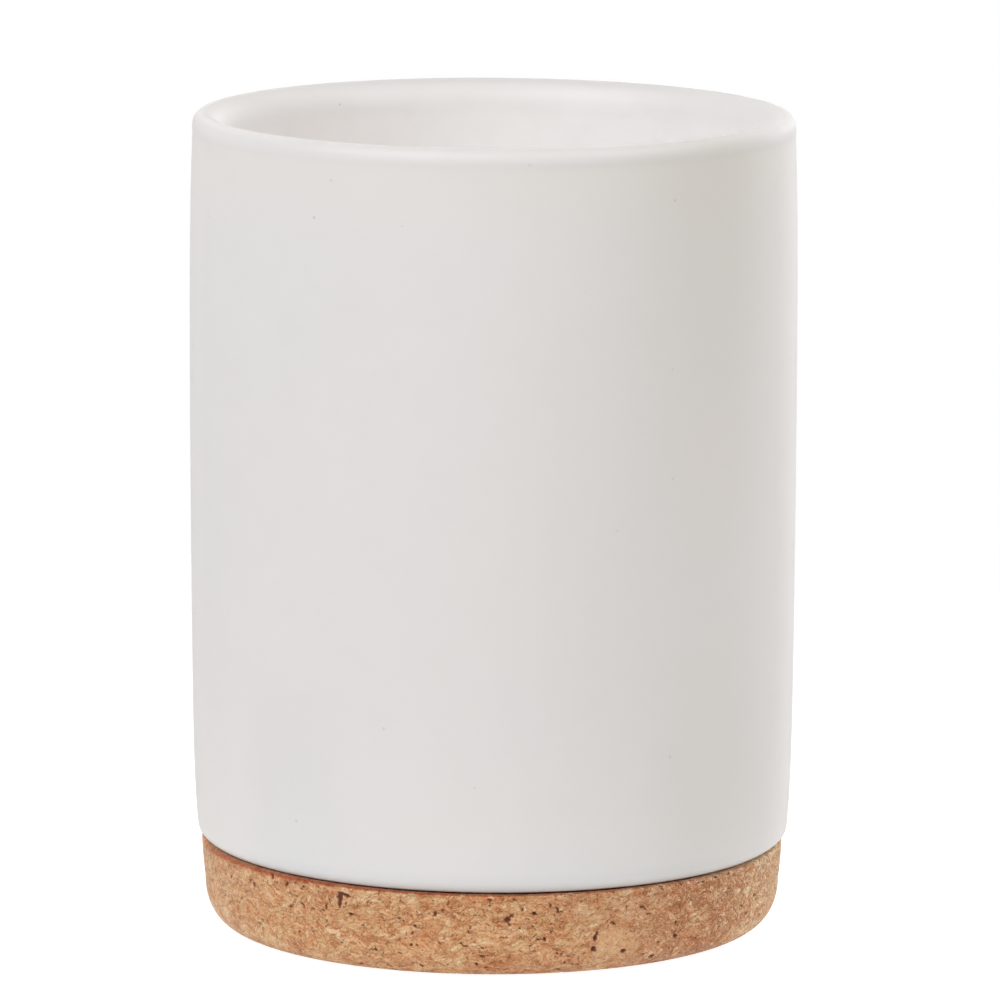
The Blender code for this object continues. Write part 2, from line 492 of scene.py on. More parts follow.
# What shows on the side that faces the camera. Each row is one small feature: degrees round from the
# front (to the right is plus), mm down the profile from the joint, length and width in mm, tilt in
# degrees, and how strong it is from 0 to 1. A lump is one large granule, with tone, redness and calm.
PITS = [
    (-47.8, 2.16, 0.71, 0.34, -81, 0.8), (-55.1, 3.6, 1.13, 0.4, 27, 0.6), (-53.7, 3.88, 0.68, 0.41, -80, 0.85),
    (-43.7, 2.68, 0.77, 0.38, 59, 0.95), (-39.3, 2.64, 0.81, 0.23, 23, 0.8), (-35.8, 2.24, 0.56, 0.27, 7, 0.55),
    (-43.1, 5.6, 0.69, 0.26, 29, 0.85), (-42.4, 5.24, 0.47, 0.22, 36, 0.65), (-40, 4.88, 0.68, 0.21, 20, 0.8),
    (-39.5, 5.16, 0.36, 0.33, -70, 0.9), (-37.1, 5.36, 0.46, 0.31, 9, 0.75), (-34, 4.84, 0.81, 0.27, 72, 0.85),
    (-34.9, 5.32, 1.21, 0.25, 19, 0.75), (-29.8, 2.84, 1.92, 0.39, -10, 1), (-30.7, 3.28, 1.12, 0.72, 87, 1),
    (-30.8, 4.08, 1.26, 0.39, 81, 1), (-33.1, 3.76, 0.8, 0.22, -85, 0.55), (-60.7, 7.68, 0.6, 0.37, 44, 0.6),
    (-49.2, 7.44, 0.98, 0.19, 38, 0.6), (-37.5, 8.2, 0.6, 0.23, -90, 0.6), (-41.1, 8.8, 0.61, 0.29, 23, 0.85),
    (-48.3, 10.36, 0.47, 0.26, 10, 0.6), (-30.7, 9.36, 0.65, 0.27, 17, 0.55), (-50.1, 8.4, 0.64, 0.22, 28, 0.5),
    (-43.5, 12.84, 1.19, 0.24, 32, 0.5), (-62.8, 3.92, 0.49, 0.52, 76, 0.6), (-75.1, 6.12, 2.19, 0.27, 12, 0.6),
    (-46.5, 2.8, 0.72, 0.27, 9, 0.5), (-42.5, 4.24, 0.57, 0.34, 39, 0.5), (-29.4, 4, 0.4, 0.29, 7, 0.6),
    (-28.3, 5.36, 0.56, 0.36, 5, 0.95), (-27.1, 5.4, 0.94, 0.17, 2, 0.7), (-21.3, 3.2, 0.44, 0.23, 47, 0.65),
    (-22.1, 2.12, 0.66, 0.22, 21, 0.6), (-8.4, 2.84, 0.72, 0.24, 61, 0.8), (-9.4, 3.72, 0.54, 0.45, 33, 0.5),
    (-10.9, 4.36, 0.7, 0.34, 71, 0.85), (-11.3, 4.72, 0.41, 0.17, 61, 0.6), (-18.1, 5.24, 0.39, 0.33, 6, 0.9),
    (-17.3, 5.6, 0.4, 0.3, -48, 0.75), (-15, 6.2, 0.39, 0.36, 6, 0.95), (-15.6, 7.12, 0.45, 0.27, 43, 0.85),
    (-16.8, 7.28, 0.58, 0.17, 67, 0.55), (-17.6, 7.68, 0.54, 0.17, -9, 0.55), (-15.4, 8.04, 0.33, 0.27, 3, 0.5),
    (-15.8, 8.72, 0.48, 0.35, 14, 0.9), (-14.7, 8.68, 0.28, 0.28, 3, 0.6), (-23.4, 9.88, 0.44, 0.37, 5, 0.95),
    (-24.3, 9.84, 0.58, 0.15, 11, 0.5), (-25.7, 7.56, 0.55, 0.19, 50, 0.5),
    (-18.5, 10.04, 0.73, 0.14, 11, 0.55), (-14.3, 11.96, 1.08, 0.38, -45, 0.6),
    (-21.4, 12.56, 1.2, 0.45, -37, 0.5), (-27.8, 12.8, 1.09, 0.39, 29, 0.5), (-0.4, 2.28, 0.62, 0.35, 11, 0.85),
    (-0.3, 3, 0.3, 0.27, 0, 0.75), (3.1, 4.96, 0.79, 0.64, 21, 1), (3.9, 4.44, 0.63, 0.3, 43, 0.9),
    (6, 3.6, 0.33, 0.33, -3, 0.8), (8.3, 4.2, 0.67, 0.41, -18, 1), (4.4, 2.32, 0.5, 0.27, -9, 0.7),
    (11.4, 3.12, 0.4, 0.27, -90, 0.7), (12.8, 3.72, 0.86, 0.29, -62, 0.85), (13.6, 4.08, 0.39, 0.23, 31, 0.7),
    (7.2, 4.92, 0.28, 0.27, 0, 0.7), (8.1, 5.88, 0.35, 0.27, 0, 0.7), (5.4, 6.12, 0.36, 0.22, 15, 0.75),
    (3.6, 5.64, 0.32, 0.25, 0, 0.7), (6.5, 6.72, 0.52, 0.18, 31, 0.5), (-4.1, 6.12, 0.44, 0.22, 61, 0.75),
    (-4.5, 6.64, 0.44, 0.2, 76, 0.75), (-5.8, 8.24, 0.53, 0.25, -60, 0.85), (-5, 8.56, 0.68, 0.24, -11, 0.9),
    (-1.8, 8.76, 0.42, 0.27, 41, 0.85), (-3.6, 9.6, 0.45, 0.17, -34, 0.6), (-1.8, 10.08, 0.7, 0.27, -11, 0.95),
    (-4.8, 10.32, 0.29, 0.29, 0, 0.7), (-3, 11.32, 0.43, 0.43, 3, 0.9), (-1.1, 12, 0.7, 0.37, 23, 0.55),
    (2.1, 7.36, 0.49, 0.2, 0, 0.5), (3.2, 8, 0.35, 0.24, 0, 0.5), (7.5, 8.52, 0.31, 0.28, -3, 0.55),
    (11.7, 6.8, 0.37, 0.32, -3, 0.7), (10.4, 7.68, 0.42, 0.56, -3, 0.95), (9.3, 7.68, 1, 0.32, 0, 0.7),
    (20.9, 7.32, 0.67, 0.32, 70, 0.9), (20.6, 7.92, 0.84, 0.48, 85, 1), (20.4, 9.48, 0.61, 0.77, -6, 1),
    (27, 10.2, 0.8, 0.58, -3, 0.85), (24.4, 6.16, 0.86, 0.28, -31, 0.8), (23.2, 5.64, 0.53, 0.19, 24, 0.55),
    (13, 9.76, 0.42, 0.27, -38, 0.85), (14.8, 11.44, 0.32, 0.44, -3, 0.8), (13.8, 12.76, 0.55, 0.43, -6, 0.6),
    (30.5, 4.28, 0.8, 0.32, -10, 0.7), (27.1, 4.04, 0.59, 0.25, 85, 0.65), (17.9, 6.68, 1.14, 0.15, -21, 0.5),
    (26, 11.04, 0.7, 0.17, -83, 0.55), (17.2, 11.8, 1.1, 0.27, 2, 0.6), (29.5, 6.88, 0.43, 0.25, -5, 0.5),
    (39.7, 1.88, 0.58, 0.4, -86, 0.8), (45.6, 2.24, 0.76, 0.3, -8, 0.9), (44.4, 2.2, 0.55, 0.15, -8, 0.5),
    (49.4, 2.04, 0.69, 0.43, -11, 0.8), (53.4, 2, 0.65, 0.34, 25, 0.7), (34.7, 1.72, 0.63, 0.38, -5, 0.6),
    (46.3, 3.68, 0.77, 0.26, -8, 0.7), (47.8, 3.88, 0.58, 0.23, -36, 0.65), (64.6, 6.28, 0.54, 0.64, -77, 0.75),
    (53.6, 3.96, 0.47, 0.44, 31, 0.6), (53.3, 4.68, 0.95, 0.24, -45, 0.55), (37.7, 2.96, 0.48, 0.22, 7, 0.55),
    (33.3, 2.8, 0.79, 0.2, -7, 0.55), (30.3, 4.32, 0.45, 0.22, -15, 0.85), (31.1, 4.56, 0.48, 0.24, -25, 0.85),
    (32, 5.36, 0.62, 0.25, 8, 0.75), (39.8, 5.24, 0.56, 0.33, -90, 0.65), (38.5, 5.92, 0.42, 0.28, -9, 0.65),
    (39, 7.16, 0.38, 0.46, 54, 0.9), (46.3, 5.72, 0.61, 0.22, -9, 0.6), (39.1, 9, 0.85, 0.52, -26, 0.9),
    (35, 9.52, 0.43, 0.31, -7, 0.7), (34.3, 11.8, 0.82, 0.48, 20, 0.85), (39.3, 11.44, 0.52, 0.31, 0, 0.7),
    (41.8, 11.96, 0.41, 0.34, 0, 0.6), (31.7, 11.12, 0.66, 0.31, -9, 0.6), (43.1, 9.64, 0.76, 0.25, -10, 0.65),
    (44.6, 9.88, 0.6, 0.23, -10, 0.5), (49.7, 6.6, 0.64, 0.27, -9, 0.6), (59.1, 7.04, 0.85, 0.29, -11, 0.55),
    (61.5, 8.4, 0.7, 0.5, -90, 0.5), (60, 10.04, 0.79, 0.3, -1, 0.55), (70.7, 4.28, 0.62, 0.56, 23, 0.55),
]
STAINS = [
    (-62.5, 2.44, 0.9, 0.67, 47, 0.6), (-69.6, 3.6, 0.77, 0.71, 73, 0.6), (-49.3, 5.64, 0.76, 0.39, 37, 0.7),
    (-55.6, 9.28, 1.06, 0.84, 60, 0.6), (-39.4, 6.44, 1.21, 0.33, 8, 0.5), (-33.5, 8.56, 4.46, 0.23, -5, 0.8),
    (-22, 2.96, 0.95, 0.32, 5, 0.5), (-14.1, 3.2, 2.56, 0.35, 0, 0.6), (-15.9, 3.72, 0.57, 0.19, 38, 0.6),
    (-8.8, 4.12, 0.52, 0.33, -31, 0.5), (-25.3, 8.4, 1.13, 0.22, 2, 0.5), (-23.2, 8.24, 0.83, 0.29, -17, 0.6),
    (-20.3, 9.84, 0.72, 0.44, 5, 0.5), (-22.2, 10.36, 0.71, 0.3, 5, 0.5), (-10.8, 7.56, 3.23, 0.29, 35, 0.6),
    (-9.4, 9.08, 0.52, 0.2, 21, 0.5), (13.6, 6.16, 3.09, 0.56, -7, 0.55), (14.8, 6.92, 1.62, 0.47, -9, 0.5),
    (21.2, 2.76, 1.91, 0.16, 23, 0.8), (35.5, 3.48, 2.24, 0.92, -16, 0.5), (49.5, 5.4, 1.36, 0.54, -10, 0.45),
    (-28.1, 2.44, 0.69, 0.17, 66, 0.7), (2.4, 2.28, 0.19, 0.8, 0, 0.2), (-29.8, 1.64, 0.41, 0.74, 14, 0.3),
    (-19.1, 6.24, 3.54, 0.28, -2, 0.35), (9.4, 3.12, 1.28, 0.27, 18, 0.35), (15.8, 4.64, 1.85, 0.3, 11, 0.4),
    (30.4, 9.32, 0.47, 1.25, -7, 0.35), (25, 6.56, 3.82, 0.21, -5, 0.35), (22.2, 10.2, 1.32, 0.18, -37, 0.5),
    (-2.9, 5.2, 1.78, 0.27, 12, 0.35), (-7.2, 6.52, 1.56, 0.22, -20, 0.35), (-55.5, 5.32, 2.92, 0.26, 20, 0.4),
    (-45, 7.92, 2.93, 0.28, -2, 0.35), (-60.9, 5.32, 1.84, 0.25, 33, 0.4), (-38.7, 10.52, 1.97, 0.27, -2, 0.4),
    (-28.2, 10.76, 2.03, 0.27, -1, 0.4), (45.2, 7.68, 2.2, 0.28, 2, 0.4), (52.1, 8.56, 1.79, 0.32, 16, 0.4),
    (41.2, 3.44, 1.46, 0.23, -23, 0.35), (27.6, 1.88, 2.42, 0.35, 5, 0.4),
]
CREAMS = [
    (-32.5, 8.08, 2.46, 0.67, -13, 0.9), (-40.5, 8.44, 0.61, 0.23, 9, 0.8), (-40.7, 5.24, 0.51, 0.27, 8, 0.7),
    (-37.2, 2.6, 1.28, 0.44, 4, 0.7), (-68.4, 4.52, 2.95, 0.81, 12, 0.5), (-49.7, 7.28, 0.75, 0.22, 40, 0.6),
    (-52.3, 8.44, 1.82, 0.74, 10, 0.5), (-39, 12.44, 0.85, 0.6, 2, 0.6), (-29.2, 2.44, 1.36, 0.4, -5, 0.6),
    (-47.1, 4.88, 0.65, 0.3, 34, 0.5), (-21.3, 11.52, 0.83, 0.57, -39, 0.8),
    (-21.6, 7.52, 2.11, 0.77, -28, 0.7), (-23.7, 2.2, 1.56, 0.27, 4, 0.6), (-9.8, 7.8, 1.46, 0.39, 24, 0.8),
    (-11.2, 8.68, 0.81, 0.33, 9, 0.8), (-17.8, 9.16, 1.39, 0.56, 0, 0.6), (-14.5, 7.84, 0.82, 0.26, -36, 0.7),
    (-30.1, 2.4, 0.9, 0.55, 42, 0.6), (-6.8, 4.56, 1.12, 0.55, -33, 0.9), (-7.3, 8.88, 1.82, 0.67, 10, 0.8),
    (-0.6, 8.08, 2.86, 0.45, -4, 0.6), (-8.9, 7.68, 1.55, 0.4, 10, 0.5), (9.3, 9.64, 0.87, 0.4, -47, 0.7),
    (20.1, 6.16, 1.32, 0.49, 16, 0.6), (15.6, 2.76, 1.28, 0.4, 2, 0.5), (-10.6, 2.52, 2.9, 0.8, 0, 0.55),
    (-5, 8.16, 0.5, 0.27, 12, 0.7), (13.4, 3.72, 0.37, 0.42, -3, 0.7), (8.2, 5.68, 0.45, 0.21, -24, 0.8),
    (-2.1, 8.96, 0.41, 0.21, 11, 0.6), (-1.9, 10.44, 0.61, 0.22, -9, 0.7), (-41.2, 5.04, 0.5, 0.2, 53, 0.5),
    (56.7, 4.84, 1.95, 0.89, 5, 0.75), (60.9, 5.12, 2.22, 0.76, 4, 0.85), (65.1, 4.96, 2.28, 0.78, 3, 0.6),
    (43.3, 6.56, 1.49, 0.47, 11, 0.9), (41.5, 6.48, 0.52, 0.44, 18, 0.8), (42.5, 4.92, 0.72, 0.58, 85, 0.7),
    (52.8, 7.48, 0.97, 0.41, 4, 0.6), (56.8, 7.84, 0.45, 0.53, 75, 0.7), (33.8, 11, 1.12, 0.49, -8, 0.7),
    (36.2, 10.76, 0.71, 0.49, -9, 0.7), (36.3, 9.52, 1.78, 0.6, 16, 0.6), (68.5, 7.64, 3.33, 1.21, -12, 0.4),
    (64.3, 8.64, 1.28, 2.99, 34, 0.4), (43.8, 8.2, 0.87, 0.24, -40, 0.6), (33.1, 0.84, 1.83, 0.7, -1, 0.4),
    (-44.5, 3.2, 0.77, 0.24, 29, 0.5), (-52.7, 3.24, 0.58, 0.26, 46, 0.5), (-59.6, 7.08, 1.69, 0.39, 19, 0.4),
    (-43.2, 4.08, 1.6, 0.26, 22, 0.4), (-27.1, 3.88, 2.02, 0.53, 1, 0.45), (7.3, 2.72, 1.3, 0.27, 11, 0.4),
    (27, 4.84, 1.39, 0.54, -24, 0.45), (37.8, 7.76, 1.55, 0.33, -20, 0.5), (46.3, 4.36, 1.28, 0.3, 2, 0.5),
    (-62.2, 2.64, 1.86, 0.44, 30, 0.4), (-36.3, 6.96, 2.2, 0.43, -5, 0.4), (-27.4, 9.48, 1.55, 0.33, 10, 0.45),
    (14.5, 8.56, 2.33, 0.35, 4, 0.45), (5.6, 10.8, 2.03, 0.43, 1, 0.45), (19.7, 11.2, 1.59, 0.44, 10, 0.45),
]
GRANULES = [
    (25, 8.6, 6, 4.03, -5, 0.085, 0.05, 0.8), (-12.5, 6.68, 4.21, 2.2, 30, -0.06, 0.55, 0.2),
    (-28.5, 6.76, 2.33, 1.34, -3, 0.1, -0.1, 0.7), (-16.2, 9.92, 1.8, 1.19, 9, 0.14, -0.05, 0.8),
    (-25, 4.76, 3.16, 1.11, 2, 0.1, -0.3, 0.5), (5.7, 4.84, 1.55, 0.92, 4, 0.05, 0.1, 0.6),
    (43.6, 8.92, 3.73, 1.01, -5, 0.05, 0.1, 0.6), (2.5, 6.28, 1.9, 0.81, -11, -0.05, 0.2, 0.3),
    (10.3, 2.24, 1.96, 1, -1, 0.04, 0.1, 0.3),
]


def mark_cork(obj, turn, down):
    """Writes the placed features on the cork's points: pits, stains and pale flecks, their depth in mm, and
    the large granules."""
    mesh = obj.data
    co = np.empty(len(mesh.vertices) * 3, np.float32)
    mesh.vertices.foreach_get("co", co)
    radius = np.hypot(co[0::3], co[1::3]) / MM
    turn = (turn + 180.0) % 360.0 - 180.0
    on_side = (down > -0.5) & (down < 16.5) & (radius > 32.0)
    index = np.nonzero(on_side)[0]
    a, s, r = turn[index], down[index], radius[index]

    def reach(row, edge, soft):
        """1 in the middle of the row's ellipse, 0.5 on it and 0 outside, for the points near it."""
        az, at, length, width, tilt = row[:5]
        near = np.nonzero((np.abs(s - at) < length + 0.6) & (np.abs(a - az) * 0.66 < length + 0.6))[0]
        du = np.radians(a[near] - az) * r[near]
        dv = at - s[near]
        c, n = math.cos(math.radians(tilt)), math.sin(math.radians(tilt))
        p = (du * c + dv * n) / (length / 2)
        q = (dv * c - du * n) / (width / 2)
        return near, np.clip((edge - np.hypot(p, q)) / soft, 0.0, 1.0)

    marks = np.zeros((len(turn), 3), np.float32)
    depth = np.zeros(len(turn), np.float32)
    lump = np.zeros((len(turn), 3), np.float32)
    calm = np.zeros(len(turn), np.float32)
    for column, rows in enumerate((PITS, STAINS, CREAMS)):
        for row in rows:
            near, value = reach(row, 1.45, 0.9)
            spot = index[near]
            marks[spot, column] = np.maximum(marks[spot, column], value * row[5])
            if column == 0:
                deep = min(0.40, 0.95 * row[3]) * row[5] * np.clip(value * 1.3 - 0.1, 0, 1)
                depth[spot] = np.maximum(depth[spot], deep)
    for row in GRANULES:
        near, value = reach(row, 1.2, 0.4)
        spot = index[near]
        grow = value > lump[spot, 0]
        spot, value = spot[grow], value[grow]
        lump[spot] = np.stack([value, value * row[5], value * row[6]], 1)
        calm[spot] = value * row[7]
    for name, kind, data in (
        ("marks", "FLOAT_VECTOR", marks),
        ("lump", "FLOAT_VECTOR", lump),
        ("depth", "FLOAT", depth),
        ("calm", "FLOAT", calm),
    ):
        layer = mesh.attributes.new(name, kind, "POINT")
        layer.data.foreach_set("value" if kind == "FLOAT" else "vector", data.ravel())


# ---------------------------------------------------------------------------
# small helpers for node trees (the same nodes serve shaders and geometry)
# ---------------------------------------------------------------------------
class Tree:
    def __init__(self, tree):
        self.tree = tree

    def node(self, kind, **settings):
        made = self.tree.nodes.new(kind)
        for name, value in settings.items():
            setattr(made, name, value)
        return made

    def feed(self, socket, value):
        if isinstance(value, bpy.types.NodeSocket):
            self.tree.links.new(value, socket)
        elif isinstance(value, (tuple, list)) and socket.type == "RGBA" and len(value) == 3:
            socket.default_value = (*value, 1.0)
        else:
            socket.default_value = value

    def math(self, op, a, b=None, c=None, clamp=False):
        made = self.node("ShaderNodeMath", operation=op, use_clamp=clamp)
        for socket, value in zip(made.inputs, (a, b, c)):
            if value is not None:
                self.feed(socket, value)
        return made.outputs[0]

    def vmath(self, op, a, b=None, scale=None):
        made = self.node("ShaderNodeVectorMath", operation=op)
        self.feed(made.inputs[0], a)
        if b is not None:
            self.feed(made.inputs[1], b)
        if scale is not None:
            self.feed(made.inputs["Scale"], scale)
        return made.outputs["Value"] if op in ("LENGTH", "DISTANCE", "DOT_PRODUCT") else made.outputs[0]

    def noise(self, vector, scale, detail=2.0, rough=0.5, distortion=0.0, colour=False):
        made = self.node("ShaderNodeTexNoise", noise_dimensions="3D")
        self.feed(made.inputs["Vector"], vector)
        self.feed(made.inputs["Scale"], scale)
        self.feed(made.inputs["Detail"], detail)
        self.feed(made.inputs["Roughness"], rough)
        self.feed(made.inputs["Distortion"], distortion)
        return made.outputs["Color" if colour else "Fac" if "Fac" in made.outputs else 0]

    def cells(self, vector, scale, feature="F1", randomness=1.0):
        made = self.node("ShaderNodeTexVoronoi", voronoi_dimensions="3D", feature=feature)
        self.feed(made.inputs["Vector"], vector)
        self.feed(made.inputs["Scale"], scale)
        self.feed(made.inputs["Randomness"], randomness)
        return made

    def split(self, vector):
        made = self.node("ShaderNodeSeparateXYZ")
        self.feed(made.inputs[0], vector)
        return made.outputs

    def smooth(self, value, low, high, to_low=0.0, to_high=1.0):
        made = self.node("ShaderNodeMapRange", interpolation_type="SMOOTHSTEP")
        self.feed(made.inputs["Value"], value)
        self.feed(made.inputs["From Min"], low)
        self.feed(made.inputs["From Max"], high)
        self.feed(made.inputs["To Min"], to_low)
        self.feed(made.inputs["To Max"], to_high)
        return made.outputs["Result"]

    def mixf(self, factor, a, b):
        made = self.node("ShaderNodeMix", data_type="FLOAT")
        self.feed(made.inputs[0], factor)
        self.feed(made.inputs[2], a)
        self.feed(made.inputs[3], b)
        return made.outputs[0]

    def mixv(self, factor, a, b):
        made = self.node("ShaderNodeMix", data_type="VECTOR")
        self.feed(made.inputs[0], factor)
        self.feed(made.inputs[4], a)
        self.feed(made.inputs[5], b)
        return made.outputs[1]

    def mixc(self, factor, a, b, blend="MIX"):
        made = self.node("ShaderNodeMix", data_type="RGBA", blend_type=blend)
        self.feed(made.inputs[0], factor)
        self.feed(made.inputs[6], a)
        self.feed(made.inputs[7], b)
        return made.outputs[2]

    def ramp(self, value, stops):
        made = self.node("ShaderNodeValToRGB")
        band = made.color_ramp
        while len(band.elements) < len(stops):
            band.elements.new(0.5)
        for element, (at, colour) in zip(band.elements, stops):
            element.position = at
            element.color = (*colour, 1.0)
        self.feed(made.inputs[0], value)
        return made.outputs[0]


def new_material(name):
    made = bpy.data.materials.new(name)
    made.use_nodes = True
    nodes = made.node_tree.nodes
    for node in list(nodes):
        nodes.remove(node)
    tree = Tree(made.node_tree)
    out = tree.node("ShaderNodeOutputMaterial")
    shader = tree.node("ShaderNodeBsdfPrincipled")
    made.node_tree.links.new(shader.outputs[0], out.inputs["Surface"])
    return made, tree, shader


# ---------------------------------------------------------------------------
# pressed cork: granules of several sizes, growth lines in them, veins between them, and open pits
# ---------------------------------------------------------------------------
def cork_pattern(t, at, marks, lump, calm):
    """at is a point in millimetres, and the rest are the placed features' values there. Gives sockets."""
    half = (0.5, 0.5, 0.5)
    swirl = t.vmath("SUBTRACT", t.noise(at, 0.33, 2.0, 0.5, 0.0, True), half)
    ragged = t.vmath("SUBTRACT", t.noise(at, 1.7, 2.0, 0.55, 0.0, True), half)
    wavy = t.vmath("ADD", at, t.vmath("SCALE", swirl, scale=3.2))
    bent = t.vmath("ADD", wavy, t.vmath("SCALE", ragged, scale=0.8))
    flat = t.vmath("MULTIPLY", bent, (1.0, 1.0, 1.7))

    big = t.cells(flat, 1 / 3.9)
    big_edge = t.math("MULTIPLY", t.cells(flat, 1 / 3.9, "DISTANCE_TO_EDGE").outputs[0], 3.9)
    small = t.cells(flat, 1 / 1.6)
    small_edge = t.math("MULTIPLY", t.cells(flat, 1 / 1.6, "DISTANCE_TO_EDGE").outputs[0], 1.6)
    crumb = t.cells(flat, 1 / 0.8)
    crumb_edge = t.math("MULTIPLY", t.cells(flat, 1 / 0.8, "DISTANCE_TO_EDGE").outputs[0], 0.8)
    big_rand = t.split(big.outputs["Color"])
    small_rand = t.split(small.outputs["Color"])
    crumb_rand = t.split(crumb.outputs["Color"])
    broken = t.smooth(big_rand[1], 0.30, 0.34)  # most big cells are heaps of smaller granules
    crumbly = t.math("MULTIPLY", t.smooth(small_rand[1], 0.46, 0.52), broken)
    shade = t.mixf(broken, big_rand[0], t.mixf(crumbly, small_rand[0], crumb_rand[0]))
    hue = t.mixf(broken, big_rand[2], small_rand[2])

    xyz = t.split(at)
    radius = t.math("SQRT", t.math("ADD", t.math("MULTIPLY", xyz[0], xyz[0]), t.math("MULTIPLY", xyz[1], xyz[1])))
    # the front has its features placed one by one, so the big pits of chance stay off it
    facing = t.math("DIVIDE", t.math("MULTIPLY", xyz[1], -1.0), t.math("MAXIMUM", radius, 1.0))
    wild = t.math("MAXIMUM", t.smooth(facing, 0.10, 0.26, 1.0, 0.0), t.smooth(xyz[2], 0.1, 0.7, 1.0, 0.0))

    # growth lines: fine wavy layers, mostly lying flat, turned a little in each granule about its middle
    outward = t.node("ShaderNodeCombineXYZ")
    t.feed(outward.inputs[0], xyz[0])
    t.feed(outward.inputs[1], xyz[1])
    lean = t.math("SUBTRACT", hue, 0.5)
    lean = t.math("MULTIPLY", lean, t.math("MULTIPLY_ADD", t.math("MULTIPLY", lean, lean), 6.0, 0.6))
    turn = t.node("ShaderNodeVectorRotate", rotation_type="AXIS_ANGLE")
    soft = t.vmath("ADD", at, t.vmath("SCALE", swirl, scale=2.4))
    t.feed(turn.inputs["Vector"], t.vmath("ADD", soft, t.vmath("SCALE", ragged, scale=0.24)))
    t.feed(turn.inputs["Center"], t.mixv(broken, big.outputs["Position"], small.outputs["Position"]))
    t.feed(turn.inputs["Axis"], outward.outputs[0])
    t.feed(turn.inputs["Angle"], lean)
    fibre = turn.outputs[0]
    lines = t.noise(t.vmath("MULTIPLY", fibre, (0.55, 0.55, 2.3)), 1.0, 2.0, 0.55)
    lines = t.math("MULTIPLY_ADD", lines, 2.0, -1.0)
    layer = t.split(fibre)[2]
    drift = t.noise(wavy, 0.55, 1.0, 0.5)
    layer = t.math("SINE", t.math("MULTIPLY_ADD", layer, 11.5, t.math("MULTIPLY", drift, 16.0)))
    layered = t.smooth(t.noise(at, 0.7, 1.0, 0.5), 0.46, 0.62)
    layer = t.math("MULTIPLY", layer, layered)

    edge = t.mixf(broken, big_edge, t.math("MINIMUM", big_edge, small_edge))
    come_and_go = t.noise(at, 1.15, 2.0, 0.6)
    vein = t.math("MULTIPLY", t.smooth(edge, 0.02, 0.17, 1.0, 0.0), t.smooth(come_and_go, 0.44, 0.62))
    loud = t.math("SUBTRACT", 1.0, calm)
    vein = t.math("MULTIPLY", vein, loud)
    rim = t.split(lump)[0]
    ring = t.math("MULTIPLY", t.smooth(t.math("ABSOLUTE", t.math("SUBTRACT", rim, 0.5)), 0.05, 0.32, 1.0, 0.0), t.smooth(come_and_go, 0.36, 0.60))
    vein = t.math("MAXIMUM", vein, t.math("MULTIPLY", ring, 0.7))

    # little hooked gaps between the crumbs, and larger pits where granules meet
    gap = t.noise(at, 1.5, 2.0, 0.6)
    gap = t.math("MULTIPLY", t.math("SUBTRACT", gap, 0.575), 1.25)
    tiny = t.smooth(t.math("SUBTRACT", t.mixf(0.5, small_edge, crumb_edge), t.math("MAXIMUM", gap, 0.0)), -0.05, 0.05, 1.0, 0.0)
    tiny = t.math("MULTIPLY", tiny, t.smooth(gap, 0.0, 0.06))
    tiny = t.math("MULTIPLY", tiny, loud)
    open_big = t.math("MULTIPLY", t.math("SUBTRACT", t.noise(at, 0.75, 2.0, 0.6), 0.585), 4.0)
    large = t.smooth(t.math("SUBTRACT", big_edge, t.math("MAXIMUM", open_big, 0.0)), -0.14, 0.02, 1.0, 0.0)
    large = t.math("MULTIPLY", t.math("MULTIPLY", large, t.smooth(open_big, 0.0, 0.12)), wild)
    open_small = t.math("MULTIPLY", t.math("SUBTRACT", t.noise(at, 1.30, 2.0, 0.6), 0.605), 2.6)
    middle = t.smooth(t.math("SUBTRACT", small_edge, t.math("MAXIMUM", open_small, 0.0)), -0.10, 0.02, 1.0, 0.0)
    middle = t.math("MULTIPLY", t.math("MULTIPLY", middle, t.smooth(open_small, 0.0, 0.10)), wild)
    placed = t.split(marks)
    speckle = t.math("SUBTRACT", t.noise(at, 4.5, 1.0, 0.5), 0.5)
    chips = t.split(t.cells(t.vmath("ADD", at, t.vmath("SCALE", ragged, scale=0.25)), 1 / 0.26).outputs["Color"])[0]
    chips = t.math("MULTIPLY_ADD", speckle, 0.75, t.math("MULTIPLY_ADD", chips, 0.42, -0.21))
    dark = t.smooth(t.math("ADD", chips, placed[0]), 0.24, 0.50)
    halo = t.smooth(t.math("ADD", chips, placed[0]), 0.04, 0.34)
    dark = t.math("MULTIPLY", dark, t.smooth(placed[0], 0.35, 0.90, 0.80, 1.0))
    pit = t.math("MAXIMUM", dark, t.math("MAXIMUM", large, t.math("MULTIPLY", middle, 0.9)))

    height = t.math("MULTIPLY", t.math("MAXIMUM", t.math("MULTIPLY", large, 0.60), t.math("MULTIPLY", middle, 0.36)), -1.0)
    height = t.math("MULTIPLY_ADD", tiny, -0.07, height)
    height = t.math("MULTIPLY_ADD", vein, -0.03, height)
    height = t.math("MULTIPLY_ADD", t.math("SUBTRACT", shade, 0.5), 0.020, height)
    height = t.math("MULTIPLY_ADD", t.math("SUBTRACT", come_and_go, 0.5), 0.03, height)
    return {
        "shade": shade,
        "hue": hue,
        "fibre": fibre,
        "bent": bent,
        "net": t.math("MINIMUM", small_edge, crumb_edge),
        "radius": radius,
        "come": come_and_go,
        "side": t.math("DIVIDE", xyz[0], t.math("MAXIMUM", radius, 1.0)),
        "lines": lines,
        "layer": layer,
        "vein": vein,
        "tiny": tiny,
        "pit": pit,
        "halo": halo,
        "placed": placed,
        "speckle": speckle,
        "height": height,
        "loud": loud,
        "lump": t.split(lump),
    }


